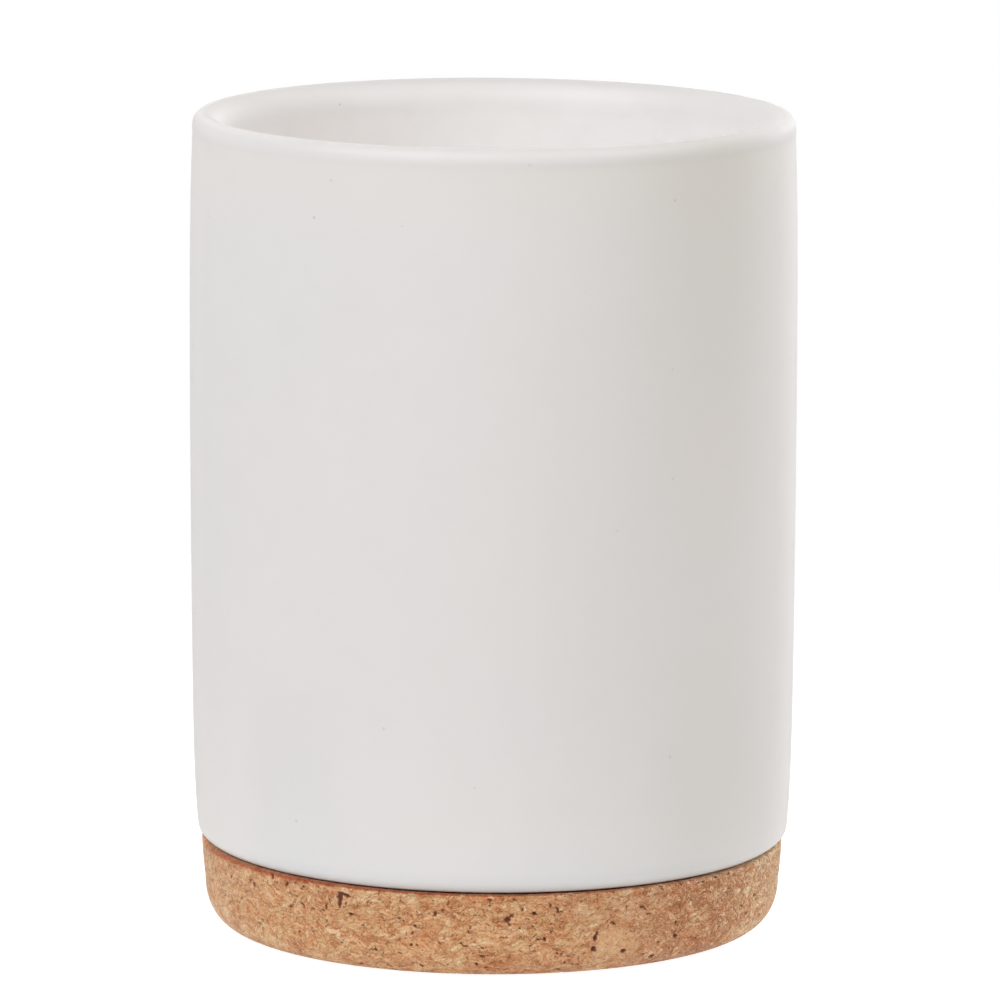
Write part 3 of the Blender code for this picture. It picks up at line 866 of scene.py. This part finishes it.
def relief(obj):
    """Moves the cork's surface by the pattern's height, and keeps each point's first place for the material."""
    group = bpy.data.node_groups.new("cork_relief", "GeometryNodeTree")
    group.interface.new_socket("Geometry", in_out="INPUT", socket_type="NodeSocketGeometry")
    group.interface.new_socket("Geometry", in_out="OUTPUT", socket_type="NodeSocketGeometry")
    t = Tree(group)
    start, end = t.node("NodeGroupInput"), t.node("NodeGroupOutput")
    place = t.node("GeometryNodeInputPosition").outputs[0]
    normal = t.node("GeometryNodeInputNormal").outputs[0]
    at = t.vmath("SCALE", place, scale=1000.0)

    def read(name, kind):
        made = t.node("GeometryNodeInputNamedAttribute", data_type=kind)
        made.inputs["Name"].default_value = name
        return next(o for o in made.outputs if o.enabled and o.name == "Attribute")

    pattern = cork_pattern(t, at, read("marks", "FLOAT_VECTOR"), read("lump", "FLOAT_VECTOR"), read("calm", "FLOAT"))
    keep = t.node("GeometryNodeStoreNamedAttribute", data_type="FLOAT_VECTOR", domain="POINT")
    t.feed(keep.inputs["Name"], "rest_mm")
    group.links.new(start.outputs[0], keep.inputs["Geometry"])
    t.feed(keep.inputs["Value"], at)

    height = t.math("MINIMUM", pattern["height"], t.math("MULTIPLY_ADD", read("depth", "FLOAT"), -1.0, 0.05))
    xyz = t.split(place)
    radius = t.math("SQRT", t.math("ADD", t.math("MULTIPLY", xyz[0], xyz[0]), t.math("MULTIPLY", xyz[1], xyz[1])))
    # the sole stays flat apart from its pits, and the hidden recess stays plain
    sole = t.smooth(xyz[2], 0.0002, 0.0012)
    height = t.mixf(sole, t.math("MINIMUM", height, 0.0), height)
    shown = t.math("MAXIMUM", t.smooth(radius, 0.0366, 0.0374), t.smooth(xyz[2], 0.0040, 0.0070, 1.0, 0.0))
    offset = t.vmath("SCALE", normal, scale=t.math("MULTIPLY", t.math("MULTIPLY", height, shown), 0.001))
    move = t.node("GeometryNodeSetPosition")
    group.links.new(keep.outputs[0], move.inputs["Geometry"])
    t.feed(move.inputs["Offset"], offset)
    group.links.new(move.outputs[0], end.inputs[0])
    changer = obj.modifiers.new("relief", "NODES")
    changer.node_group = group
    graph = bpy.context.evaluated_depsgraph_get()
    mesh = bpy.data.meshes.new_from_object(obj.evaluated_get(graph))
    obj.modifiers.clear()
    old = obj.data
    obj.data = mesh
    bpy.data.meshes.remove(old)
    mesh.name = obj.name
    mesh.shade_smooth()
    bpy.data.node_groups.remove(group)


def cork_material():
    made, t, shader = new_material("pressed_cork")

    def read(name):
        return t.node("ShaderNodeAttribute", attribute_name=name, attribute_type="GEOMETRY")

    at = read("rest_mm").outputs["Vector"]
    p = cork_pattern(t, at, read("marks").outputs["Vector"], read("lump").outputs["Vector"], read("calm").outputs["Fac"])
    grain = t.noise(t.vmath("MULTIPLY", at, (1.0, 1.0, 1.5)), 3.6, 2.0, 0.6)
    broad = t.noise(at, 0.16, 1.0, 0.5)
    hues = t.noise(at, 0.9, 2.0, 0.6)
    loud = p["loud"]

    def ridge(vector, scale, width, detail=2.0):
        """Thin wandering lines, where a noise crosses its middle."""
        n = t.noise(vector, scale, detail, 0.55)
        return t.smooth(t.math("ABSOLUTE", t.math("SUBTRACT", n, 0.5)), 0.0, width, 1.0, 0.0)

    # strands within the granules, drawn out along the growth lines, and softer blotches between them
    strand = t.noise(t.vmath("MULTIPLY", p["fibre"], (0.30, 0.30, 1.5)), 1.0, 2.0, 0.55)
    streak = t.noise(t.vmath("MULTIPLY", p["fibre"], (0.90, 0.90, 4.0)), 1.0, 2.0, 0.55)
    blotch = t.noise(t.vmath("MULTIPLY", p["bent"], (0.34, 0.34, 0.62)), 1.0, 2.0, 0.55)
    drawn = ridge(t.vmath("MULTIPLY", p["fibre"], (0.32, 0.32, 1.35)), 1.0, 0.018)
    crumbs = t.smooth(p["side"], 0.10, 0.75)
    squiggle = ridge(t.vmath("MULTIPLY", p["bent"], (0.9, 0.9, 1.4)), 1.0, t.math("MULTIPLY_ADD", crumbs, 0.030, 0.030))
    pale = t.smooth(t.math("MULTIPLY_ADD", p["speckle"], 0.5, p["placed"][2]), 0.15, 0.75)
    keep = t.smooth(t.noise(at, 0.8, 2.0, 0.6), 0.45, 0.62)
    keep2 = t.smooth(t.noise(at, 1.0, 1.0, 0.5), 0.58, 0.40)
    thin = t.math(
        "MAXIMUM",
        t.math("MULTIPLY", drawn, keep),
        t.math("MULTIPLY", squiggle, t.math("MAXIMUM", t.math("MULTIPLY", keep2, 0.60), t.math("MULTIPLY", crumbs, 0.80))),
    )
    net = t.math("MULTIPLY", t.smooth(p["net"], 0.0, 0.09, 1.0, 0.0), t.smooth(t.noise(at, 1.9, 1.0, 0.5), 0.40, 0.56))
    thin = t.math("MAXIMUM", thin, t.math("MULTIPLY", net, t.math("MULTIPLY_ADD", crumbs, 0.85, 0.15)))
    thin = t.math("MULTIPLY", thin, t.math("MULTIPLY_ADD", loud, 0.80, 0.20))
    thin = t.math("MULTIPLY", thin, t.math("MULTIPLY_ADD", pale, -0.70, 1.0))

    tone = t.math("MULTIPLY_ADD", t.math("SUBTRACT", p["shade"], 0.5), t.math("MULTIPLY", loud, 0.20), 0.5)
    tone = t.math("MULTIPLY_ADD", t.math("SUBTRACT", strand, 0.5), t.math("MULTIPLY_ADD", loud, 0.75, 0.20), tone)
    tone = t.math("MULTIPLY_ADD", t.math("SUBTRACT", streak, 0.5), t.math("MULTIPLY_ADD", loud, t.math("MULTIPLY_ADD", crumbs, -0.55, 0.92), 0.20), tone)
    grit = t.split(t.cells(t.vmath("MULTIPLY", p["bent"], (1.0, 1.0, 1.3)), 1 / 0.52).outputs["Color"])[0]
    tone = t.math("MULTIPLY_ADD", t.math("SUBTRACT", grit, 0.5), t.math("MULTIPLY", t.math("MULTIPLY", crumbs, loud), t.math("MULTIPLY_ADD", pale, -0.25, 0.36)), tone)
    tone = t.math("MULTIPLY_ADD", t.math("SUBTRACT", blotch, 0.5), t.math("MULTIPLY", loud, 0.75), tone)
    tone = t.math("MULTIPLY_ADD", p["lines"], t.math("MULTIPLY_ADD", loud, 0.18, 0.05), tone)
    tone = t.math("MULTIPLY_ADD", p["layer"], t.math("MULTIPLY", loud, 0.05), tone)
    tone = t.math("MULTIPLY_ADD", t.math("SUBTRACT", grain, 0.5), t.math("MULTIPLY_ADD", crumbs, -0.15, 0.90), tone)
    smudge = t.smooth(t.noise(t.vmath("MULTIPLY", p["bent"], (1.0, 1.0, 1.3)), 1.15, 2.0, 0.55), 0.57, 0.72)
    tone = t.math("MULTIPLY_ADD", smudge, t.math("MULTIPLY", loud, -0.20), tone)
    tone = t.math("SUBTRACT", tone, t.smooth(p["side"], -0.45, 0.10, -0.034, 0.004))
    # painted light: the cork is lighter towards its right edge, and on the right just under the joint
    tone = t.math("ADD", tone, t.smooth(p["side"], 0.72, 0.95, 0.0, 0.19))
    tone = t.math("ADD", tone, t.math("MULTIPLY", t.smooth(p["side"], 0.40, 0.80, 0.0, 0.16), t.smooth(t.split(at)[2], 10.2, 11.1)))
    tone = t.math("MULTIPLY_ADD", t.math("SUBTRACT", broad, 0.5), 0.24, tone)
    tone = t.math("ADD", tone, p["lump"][1])
    tone = t.math("MULTIPLY_ADD", pale, t.math("MULTIPLY_ADD", crumbs, 0.10, 0.34), tone)
    colour = t.ramp(
        tone,
        [
            (0.00, (0.350, 0.124, 0.044)),
            (0.25, (0.482, 0.215, 0.088)),
            (0.50, (0.617, 0.334, 0.159)),
            (0.75, (0.705, 0.452, 0.245)),
            (1.00, (0.780, 0.572, 0.358)),
        ],
    )
    redder = t.math("MULTIPLY_ADD", t.math("SUBTRACT", p["hue"], 0.5), 0.9, t.math("MULTIPLY_ADD", t.math("SUBTRACT", hues, 0.5), 2.9, p["lump"][2]))
    colour = t.mixc(t.math("MINIMUM", t.math("MAXIMUM", redder, 0.0), 1.0), colour, t.mixc(1.0, colour, (0.99, 0.815, 0.715), "MULTIPLY"))
    colour = t.mixc(t.math("MINIMUM", t.math("MAXIMUM", t.math("MULTIPLY", redder, -1.0), 0.0), 1.0), colour, t.mixc(1.0, colour, (0.965, 1.09, 1.05), "MULTIPLY"))
    colour = t.mixc(t.smooth(p["side"], -0.15, 0.60), colour, t.mixc(1.0, colour, (0.995, 1.012, 1.065), "MULTIPLY"))
    # painted light: paler towards the right edge
    colour = t.mixc(t.smooth(p["side"], 0.76, 0.90), colour, t.mixc(1.0, colour, (1.12, 1.18, 1.14), "MULTIPLY"))
    stain = t.smooth(t.math("MULTIPLY_ADD", p["speckle"], 0.5, p["placed"][1]), 0.15, 0.95)
    brown = t.math("MAXIMUM", t.math("MULTIPLY", p["vein"], 0.56), t.math("MULTIPLY", stain, 0.55))
    brown = t.math("MAXIMUM", brown, t.math("MULTIPLY", thin, t.math("MULTIPLY_ADD", crumbs, 0.42, 0.49)))
    brown = t.math("MAXIMUM", brown, t.math("MULTIPLY", p["halo"], 0.55))
    colour = t.mixc(brown, colour, (0.290, 0.074, 0.024))
    colour = t.mixc(t.math("MULTIPLY", p["tiny"], 0.64), colour, (0.190, 0.046, 0.020))
    colour = t.mixc(t.math("MULTIPLY", p["pit"], 0.92), colour, (0.118, 0.028, 0.015))

    # painted shade: the cork is darkened along the joint, where the cup's overhang shades it, more on one side; painted
    # light leaves it paler on the other
    z = t.math("MULTIPLY_ADD", t.math("SUBTRACT", t.noise(at, 0.9, 2.0, 0.6), 0.5), 0.5, t.split(at)[2])
    reach = t.smooth(p["side"], -0.98, -0.35, 0.42, 0.0)
    painted_joint_shade = t.math("MULTIPLY", t.smooth(t.math("ADD", z, reach), 11.24, 11.45), t.smooth(p["side"], 0.25, 0.62, 1.0, 0.0))
    painted_joint_shade = t.math("MULTIPLY", painted_joint_shade, t.smooth(p["side"], -0.96, -0.55, 0.50, 1.0))
    painted_joint_shade = t.math("MULTIPLY", painted_joint_shade, t.smooth(p["radius"], 37.6, 38.1, 0.3, 1.0))
    painted_joint_shade = t.math("MULTIPLY", painted_joint_shade, t.math("MULTIPLY_ADD", pale, -0.6, 1.0))
    colour = t.mixc(painted_joint_shade, colour, t.mixc(1.0, colour, (0.87, 0.60, 0.49), "MULTIPLY"))
    # painted shadow: a dark line on the cork's top edge, along the gap under the cup
    ends = t.math("MULTIPLY", t.smooth(p["side"], -0.98, -0.93), t.smooth(p["side"], 0.55, 0.85, 1.0, 0.0))
    painted_joint_shadow = t.math("MULTIPLY", t.smooth(z, 11.20, 11.38), t.math("MULTIPLY", t.smooth(p["radius"], 38.0, 38.25), ends))
    colour = t.mixc(painted_joint_shadow, colour, t.mixc(1.0, colour, (0.76, 0.46, 0.42), "MULTIPLY"))
    t.feed(shader.inputs["Base Color"], colour)
    t.feed(shader.inputs["Roughness"], t.math("MULTIPLY_ADD", grain, 0.25, 0.66))
    t.feed(shader.inputs["Specular IOR Level"], 0.30)
    t.feed(shader.inputs["Sheen Weight"], 0.36)
    t.feed(shader.inputs["Sheen Roughness"], 0.35)
    t.feed(shader.inputs["Sheen Tint"], (1.0, 0.95, 0.78))
    bump = t.node("ShaderNodeBump")
    t.feed(bump.inputs["Strength"], 0.7)
    t.feed(bump.inputs["Distance"], 0.00016)
    fine = t.math("MULTIPLY_ADD", grain, 0.8, t.math("MULTIPLY", p["lines"], 0.30))
    fine = t.math("MULTIPLY_ADD", p["layer"], 0.12, fine)
    fine = t.math("MULTIPLY_ADD", p["vein"], -0.4, fine)
    fine = t.math("MULTIPLY_ADD", p["tiny"], -0.9, fine)
    t.feed(bump.inputs["Height"], fine)
    t.feed(shader.inputs["Normal"], bump.outputs[0])
    return made


# ---------------------------------------------------------------------------
# satin glaze
# ---------------------------------------------------------------------------
def glaze_material():
    made, t, shader = new_material("satin_white_glaze")
    spot = t.node("ShaderNodeTexCoord")
    at = t.vmath("SCALE", spot.outputs["Object"], scale=1000.0)
    broad = t.noise(at, 0.022, 2.0, 0.5)
    cloud = t.noise(at, 0.16, 3.0, 0.55)
    colour = t.mixc(t.smooth(broad, 0.35, 0.65), (0.778, 0.751, 0.728), (0.769, 0.751, 0.733))
    # painted light: the inside of the cup is whiter, less so just under the lip; painted shade makes the lip's crest
    # and inner side a little darker
    xyz = t.split(at)
    radius = t.math("SQRT", t.math("ADD", t.math("MULTIPLY", xyz[0], xyz[0]), t.math("MULTIPLY", xyz[1], xyz[1])))
    hollow = t.smooth(xyz[2], 12.5, 14.0)
    painted_lit_lining = t.mixc(t.smooth(xyz[2], 102.8, 105.6), (0.900, 0.878, 0.860), (0.822, 0.802, 0.784))
    brow = t.math("MULTIPLY", t.smooth(radius, 37.8, 38.4, 1.0, 0.0), hollow)
    colour = t.mixc(brow, colour, t.mixc(1.0, colour, (0.95, 0.95, 0.95), "MULTIPLY"))
    colour = t.mixc(t.math("MULTIPLY", t.smooth(radius, 35.5, 37.2, 1.0, 0.0), hollow), colour, painted_lit_lining)
    # painted shade: a little darker on one side towards the rim
    side = t.math("DIVIDE", xyz[0], t.math("MAXIMUM", radius, 1.0))
    painted_side_shade = t.math("MULTIPLY", t.smooth(side, 0.30, 0.76), t.smooth(side, 0.76, 0.99, 1.0, 0.0))
    painted_side_shade = t.math("MULTIPLY", t.math("MULTIPLY", painted_side_shade, t.smooth(xyz[2], 45.0, 104.0, 0.25, 1.0)), t.smooth(radius, 37.8, 38.4))
    colour = t.mixc(painted_side_shade, colour, t.mixc(1.0, colour, (0.925, 0.916, 0.880), "MULTIPLY"))
    # warmer under the lip; a painted highlight, a little whiter at the far sides; and painted shade, darker where the
    # lip's ends turn away
    outer = t.smooth(radius, 37.8, 38.4)
    warm = t.math("MULTIPLY", t.math("MULTIPLY", t.smooth(xyz[2], 94.0, 103.5), t.smooth(xyz[2], 106.6, 105.2)), outer)
    colour = t.mixc(warm, colour, t.mixc(1.0, colour, (1.0, 0.996, 0.975), "MULTIPLY"))
    painted_edge_light = t.math("ADD", t.smooth(side, 0.92, 0.98), t.smooth(side, -0.97, -0.93, 0.45, 0.0))
    painted_edge_light = t.math("MULTIPLY", painted_edge_light, t.math("MULTIPLY", outer, t.smooth(xyz[2], 104.2, 106.2, 1.0, 0.0)))
    colour = t.mixc(painted_edge_light, colour, t.mixc(1.0, colour, (1.045, 1.045, 1.045), "MULTIPLY"))
    low = t.math("MULTIPLY", t.smooth(xyz[2], 46.0, 22.0), outer)
    west = t.math("MULTIPLY", t.math("MULTIPLY", t.smooth(side, -0.88, -0.72), t.smooth(side, -0.40, -0.62)), low)
    colour = t.mixc(west, colour, t.mixc(1.0, colour, (0.968, 0.976, 0.984), "MULTIPLY"))
    low = t.math("MULTIPLY", t.smooth(xyz[2], 52.0, 16.0), outer)
    east = t.math("MULTIPLY", t.math("MULTIPLY", t.smooth(side, 0.42, 0.68), t.smooth(side, 0.97, 0.88)), low)
    colour = t.mixc(east, colour, t.mixc(1.0, colour, (0.958, 0.962, 0.950), "MULTIPLY"))
    # painted light and shade low on the wall: a cooler tint against the cork's warm bounce light, and painted shade
    # just above the joint
    middle = t.math("MULTIPLY", outer, t.math("MULTIPLY", t.smooth(side, -0.92, -0.70), t.smooth(side, 0.90, 0.62)))
    hem = t.math("MULTIPLY", middle, t.smooth(xyz[2], 20.0, 14.0))
    colour = t.mixc(hem, colour, t.mixc(1.0, colour, (0.980, 0.996, 1.0), "MULTIPLY"))
    hem = t.math("MULTIPLY", middle, t.smooth(xyz[2], 14.6, 13.1))
    hem = t.math("MULTIPLY", hem, t.math("MAXIMUM", t.smooth(side, -0.10, 0.30), t.smooth(xyz[2], 12.05, 12.60)))
    colour = t.mixc(hem, colour, t.mixc(1.0, colour, (0.956, 0.962, 0.968), "MULTIPLY"))
    # painted shade: darker on the inner wall at one end, under the lip, and at the lip's ends
    nook = t.math("MULTIPLY", t.math("MULTIPLY", t.smooth(side, -0.95, -0.60, 1.0, 0.0), hollow), t.math("SUBTRACT", 1.0, outer))
    nook = t.math("MULTIPLY", nook, t.smooth(side, -0.96, -0.82, 1.0, 0.42))
    nook = t.math("MULTIPLY", nook, t.math("MULTIPLY", t.smooth(xyz[1], 2.0, 12.0, 1.0, 0.35), t.smooth(xyz[2], 107.8, 106.2, 0.40, 1.0)))
    tip = t.math("MULTIPLY", t.smooth(side, 0.950, 0.985), t.math("MULTIPLY", t.smooth(xyz[2], 105.9, 106.9), t.smooth(xyz[2], 108.1, 107.6)))
    tip = t.math("MULTIPLY", tip, t.math("MULTIPLY", outer, t.smooth(xyz[1], -2.0, 3.0, 0.35, 0.0)))
    tip = t.math("ADD", tip, t.math("MULTIPLY", t.math("MULTIPLY", t.smooth(side, -0.955, -0.985), t.smooth(xyz[2], 105.8, 107.2)), t.math("MULTIPLY", outer, 0.25)))
    colour = t.mixc(t.math("MAXIMUM", nook, tip), colour, t.mixc(1.0, colour, (0.868, 0.860, 0.852), "MULTIPLY"))
    colour = t.mixc(t.math("MULTIPLY", t.smooth(cloud, 0.4, 0.7), 0.12), colour, (0.720, 0.698, 0.672))

    # pinholes and specks of iron in the glaze
    dots = t.cells(at, 1 / 2.3)
    rand = t.split(dots.outputs["Color"])
    away = t.math("MULTIPLY", dots.outputs["Distance"], 2.3)
    size = t.math("MULTIPLY_ADD", rand[1], 0.20, 0.07)
    dot = t.math("MULTIPLY", t.smooth(t.math("SUBTRACT", away, size), -0.10, 0.03, 1.0, 0.0), t.math("GREATER_THAN", rand[0], 0.93))
    colour = t.mixc(t.math("MULTIPLY", dot, t.math("MULTIPLY_ADD", rand[2], 0.30, 0.10)), colour, (0.30, 0.26, 0.22))
    t.feed(shader.inputs["Base Color"], colour)
    t.feed(shader.inputs["Roughness"], t.math("MULTIPLY_ADD", cloud, 0.10, 0.50))
    t.feed(shader.inputs["IOR"], 1.5)
    peel = t.noise(at, 0.45, 2.0, 0.5)
    fine = t.noise(at, 2.6, 2.0, 0.5)
    bump = t.node("ShaderNodeBump")
    t.feed(bump.inputs["Strength"], 0.25)
    t.feed(bump.inputs["Distance"], 0.00005)
    level = t.math("MULTIPLY_ADD", fine, 0.25, peel)
    level = t.math("MULTIPLY_ADD", dot, -1.5, level)
    t.feed(bump.inputs["Height"], level)
    t.feed(shader.inputs["Normal"], bump.outputs[0])
    return made


def adhesive_material():
    made, t, shader = new_material("adhesive_bead")
    spot = t.node("ShaderNodeTexCoord")
    at = t.vmath("SCALE", spot.outputs["Object"], scale=1000.0)
    cloud = t.noise(at, 0.6, 2.0, 0.5)
    t.feed(shader.inputs["Base Color"], t.mixc(cloud, (0.62, 0.55, 0.42), (0.74, 0.68, 0.56)))
    t.feed(shader.inputs["Roughness"], t.math("MULTIPLY_ADD", cloud, 0.2, 0.35))
    return made


# ---------------------------------------------------------------------------
# build
# ---------------------------------------------------------------------------
cup = make_cup()
cup.data.materials.append(glaze_material())
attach(cup, "root")
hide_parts("ceramic_cup")

cork = make_cork()
relief(cork)
cork.data.materials.append(cork_material())
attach(cork, "root")
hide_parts("cork_base")

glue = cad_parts["adhesive_ring"]
bead = adhesive_material()
if not glue.material_slots:
    glue.data.materials.append(bead)
for place in glue.material_slots:
    place.material = bead


# ---------------------------------------------------------------------------
# floor and light
# ---------------------------------------------------------------------------
def make_floor():
    """A pale table top. Towards the camera it is lifted to white, and keeps only a soft shade under the base."""
    mesh = bpy.data.meshes.new("floor")
    count, radius = 96, 6.0
    points = [
        (radius * math.cos(2 * math.pi * i / count), radius * math.sin(2 * math.pi * i / count), -0.00002)
        for i in range(count)
    ]
    mesh.from_pydata(points, [], [list(range(count))])
    floor = bpy.data.objects.new("floor", mesh)
    bpy.context.scene.collection.objects.link(floor)
    made, t, shader = new_material("pale_floor")
    away = t.vmath("LENGTH", t.node("ShaderNodeTexCoord").outputs["Object"])
    seen = t.node("ShaderNodeLightPath").outputs["Is Camera Ray"]
    t.feed(shader.inputs["Base Color"], t.mixc(seen, (0.58, 0.58, 0.58), (0.36, 0.36, 0.36)))
    t.feed(shader.inputs["Roughness"], 0.9)
    t.feed(shader.inputs["Specular IOR Level"], 0.0)
    t.feed(shader.inputs["Emission Color"], (1.0, 1.0, 1.0))
    # the floor glows round the base and lights the cork's underside as a fill light
    glow = t.smooth(away, 0.036, 0.080, 0.50, 0.05)
    t.feed(shader.inputs["Emission Strength"], t.mixf(seen, glow, 0.90))
    white = t.node("ShaderNodeEmission")
    t.feed(white.inputs["Color"], (1.0, 1.0, 1.0))
    blend = t.node("ShaderNodeMixShader")
    t.feed(blend.inputs[0], t.math("MULTIPLY", seen, t.smooth(away, 0.07, 0.30)))
    t.feed(blend.inputs[1], shader.outputs[0])
    t.feed(blend.inputs[2], white.outputs[0])
    out = next(n for n in made.node_tree.nodes if n.type == "OUTPUT_MATERIAL")
    t.feed(out.inputs["Surface"], blend.outputs[0])
    mesh.materials.append(made)
    return floor


make_floor()


def softbox(name, azimuth, elevation, distance, size, power, colour=(1.0, 1.0, 1.0), height=None):
    """An area light that looks at the middle of the cup. Azimuth 0 is the camera's side, and grows to the right."""
    data = bpy.data.lights.new(name, "AREA")
    data.shape = "RECTANGLE"
    data.size = size
    data.size_y = height or size
    data.energy = power
    data.color = colour
    lamp = bpy.data.objects.new(name, data)
    bpy.context.scene.collection.objects.link(lamp)
    a, e = math.radians(azimuth), math.radians(elevation)
    away = Vector((math.sin(a) * math.cos(e), -math.cos(a) * math.cos(e), math.sin(e)))
    centre = Vector((0.0, 0.0, 0.055))
    lamp.location = centre + away * distance
    lamp.rotation_euler = (-away).to_track_quat("-Z", "Y").to_euler()
    lamp.visible_camera = False
    return lamp


def make_world(strength):
    """An even white room: strength is its light on the pieces, and the camera sees it white."""
    world = bpy.data.worlds.new("studio")
    world.use_nodes = True
    t = Tree(world.node_tree)
    back = world.node_tree.nodes["Background"]
    back.inputs[0].default_value = (1.0, 1.0, 1.0, 1.0)
    seen = t.node("ShaderNodeLightPath").outputs["Is Camera Ray"]
    t.feed(back.inputs[1], t.mixf(seen, strength, 1.0))
    bpy.context.scene.world = world


make_world(0.0)
# azimuth, elevation, width, height, power and tint; every box is 4.2 m away
for azimuth, elevation, width, height, power, colour in (
    (-60, 32, 1.91, 1.470, 47.9, (0.942, 0.960, 1.000)),
    (-60, 52, 1.39, 1.470, 30.4, (0.950, 0.964, 1.000)),
    (-30, 32, 1.91, 1.470, 71.0, (0.985, 0.986, 1.000)),
    (30, 32, 1.91, 1.470, 8.3, (1.000, 0.894, 0.833)),
    (60, 32, 1.91, 1.470, 59.6, (1.000, 0.987, 0.975)),
    (90, 17, 2.15, 0.735, 6.9, (1.000, 0.890, 0.806)),
    (90, 32, 1.91, 1.470, 12.9, (1.000, 0.962, 0.930)),
    (120, 7, 2.23, 0.735, 17.4, (0.878, 0.900, 1.000)),
    (120, 32, 1.91, 1.470, 20.5, (0.947, 0.961, 1.000)),
    (120, 52, 1.39, 1.470, 5.2, (1.000, 0.953, 0.967)),
    (150, 7, 2.23, 0.735, 35.4, (0.961, 0.978, 1.000)),
    (150, 32, 1.91, 1.470, 25.9, (0.981, 0.989, 1.000)),
    (180, 7, 2.23, 0.735, 14.7, (1.000, 0.987, 0.964)),
    (180, 17, 2.15, 0.735, 6.5, (1.000, 0.979, 0.934)),
    (-150, 7, 2.23, 0.735, 7.3, (1.000, 0.958, 0.846)),
    (-150, 32, 1.91, 1.470, 37.0, (1.000, 0.998, 0.996)),
    (-120, 7, 2.23, 0.735, 9.7, (1.000, 0.935, 0.825)),
    (-120, 32, 1.91, 1.470, 3.0, (1.000, 0.917, 0.857)),
):
    softbox("softbox", azimuth, elevation, 4.2, width, power, colour, height)

view = bpy.context.scene.view_settings
view.view_transform = "Standard"
view.look = "None"
view.exposure = 0.0
view.gamma = 1.0
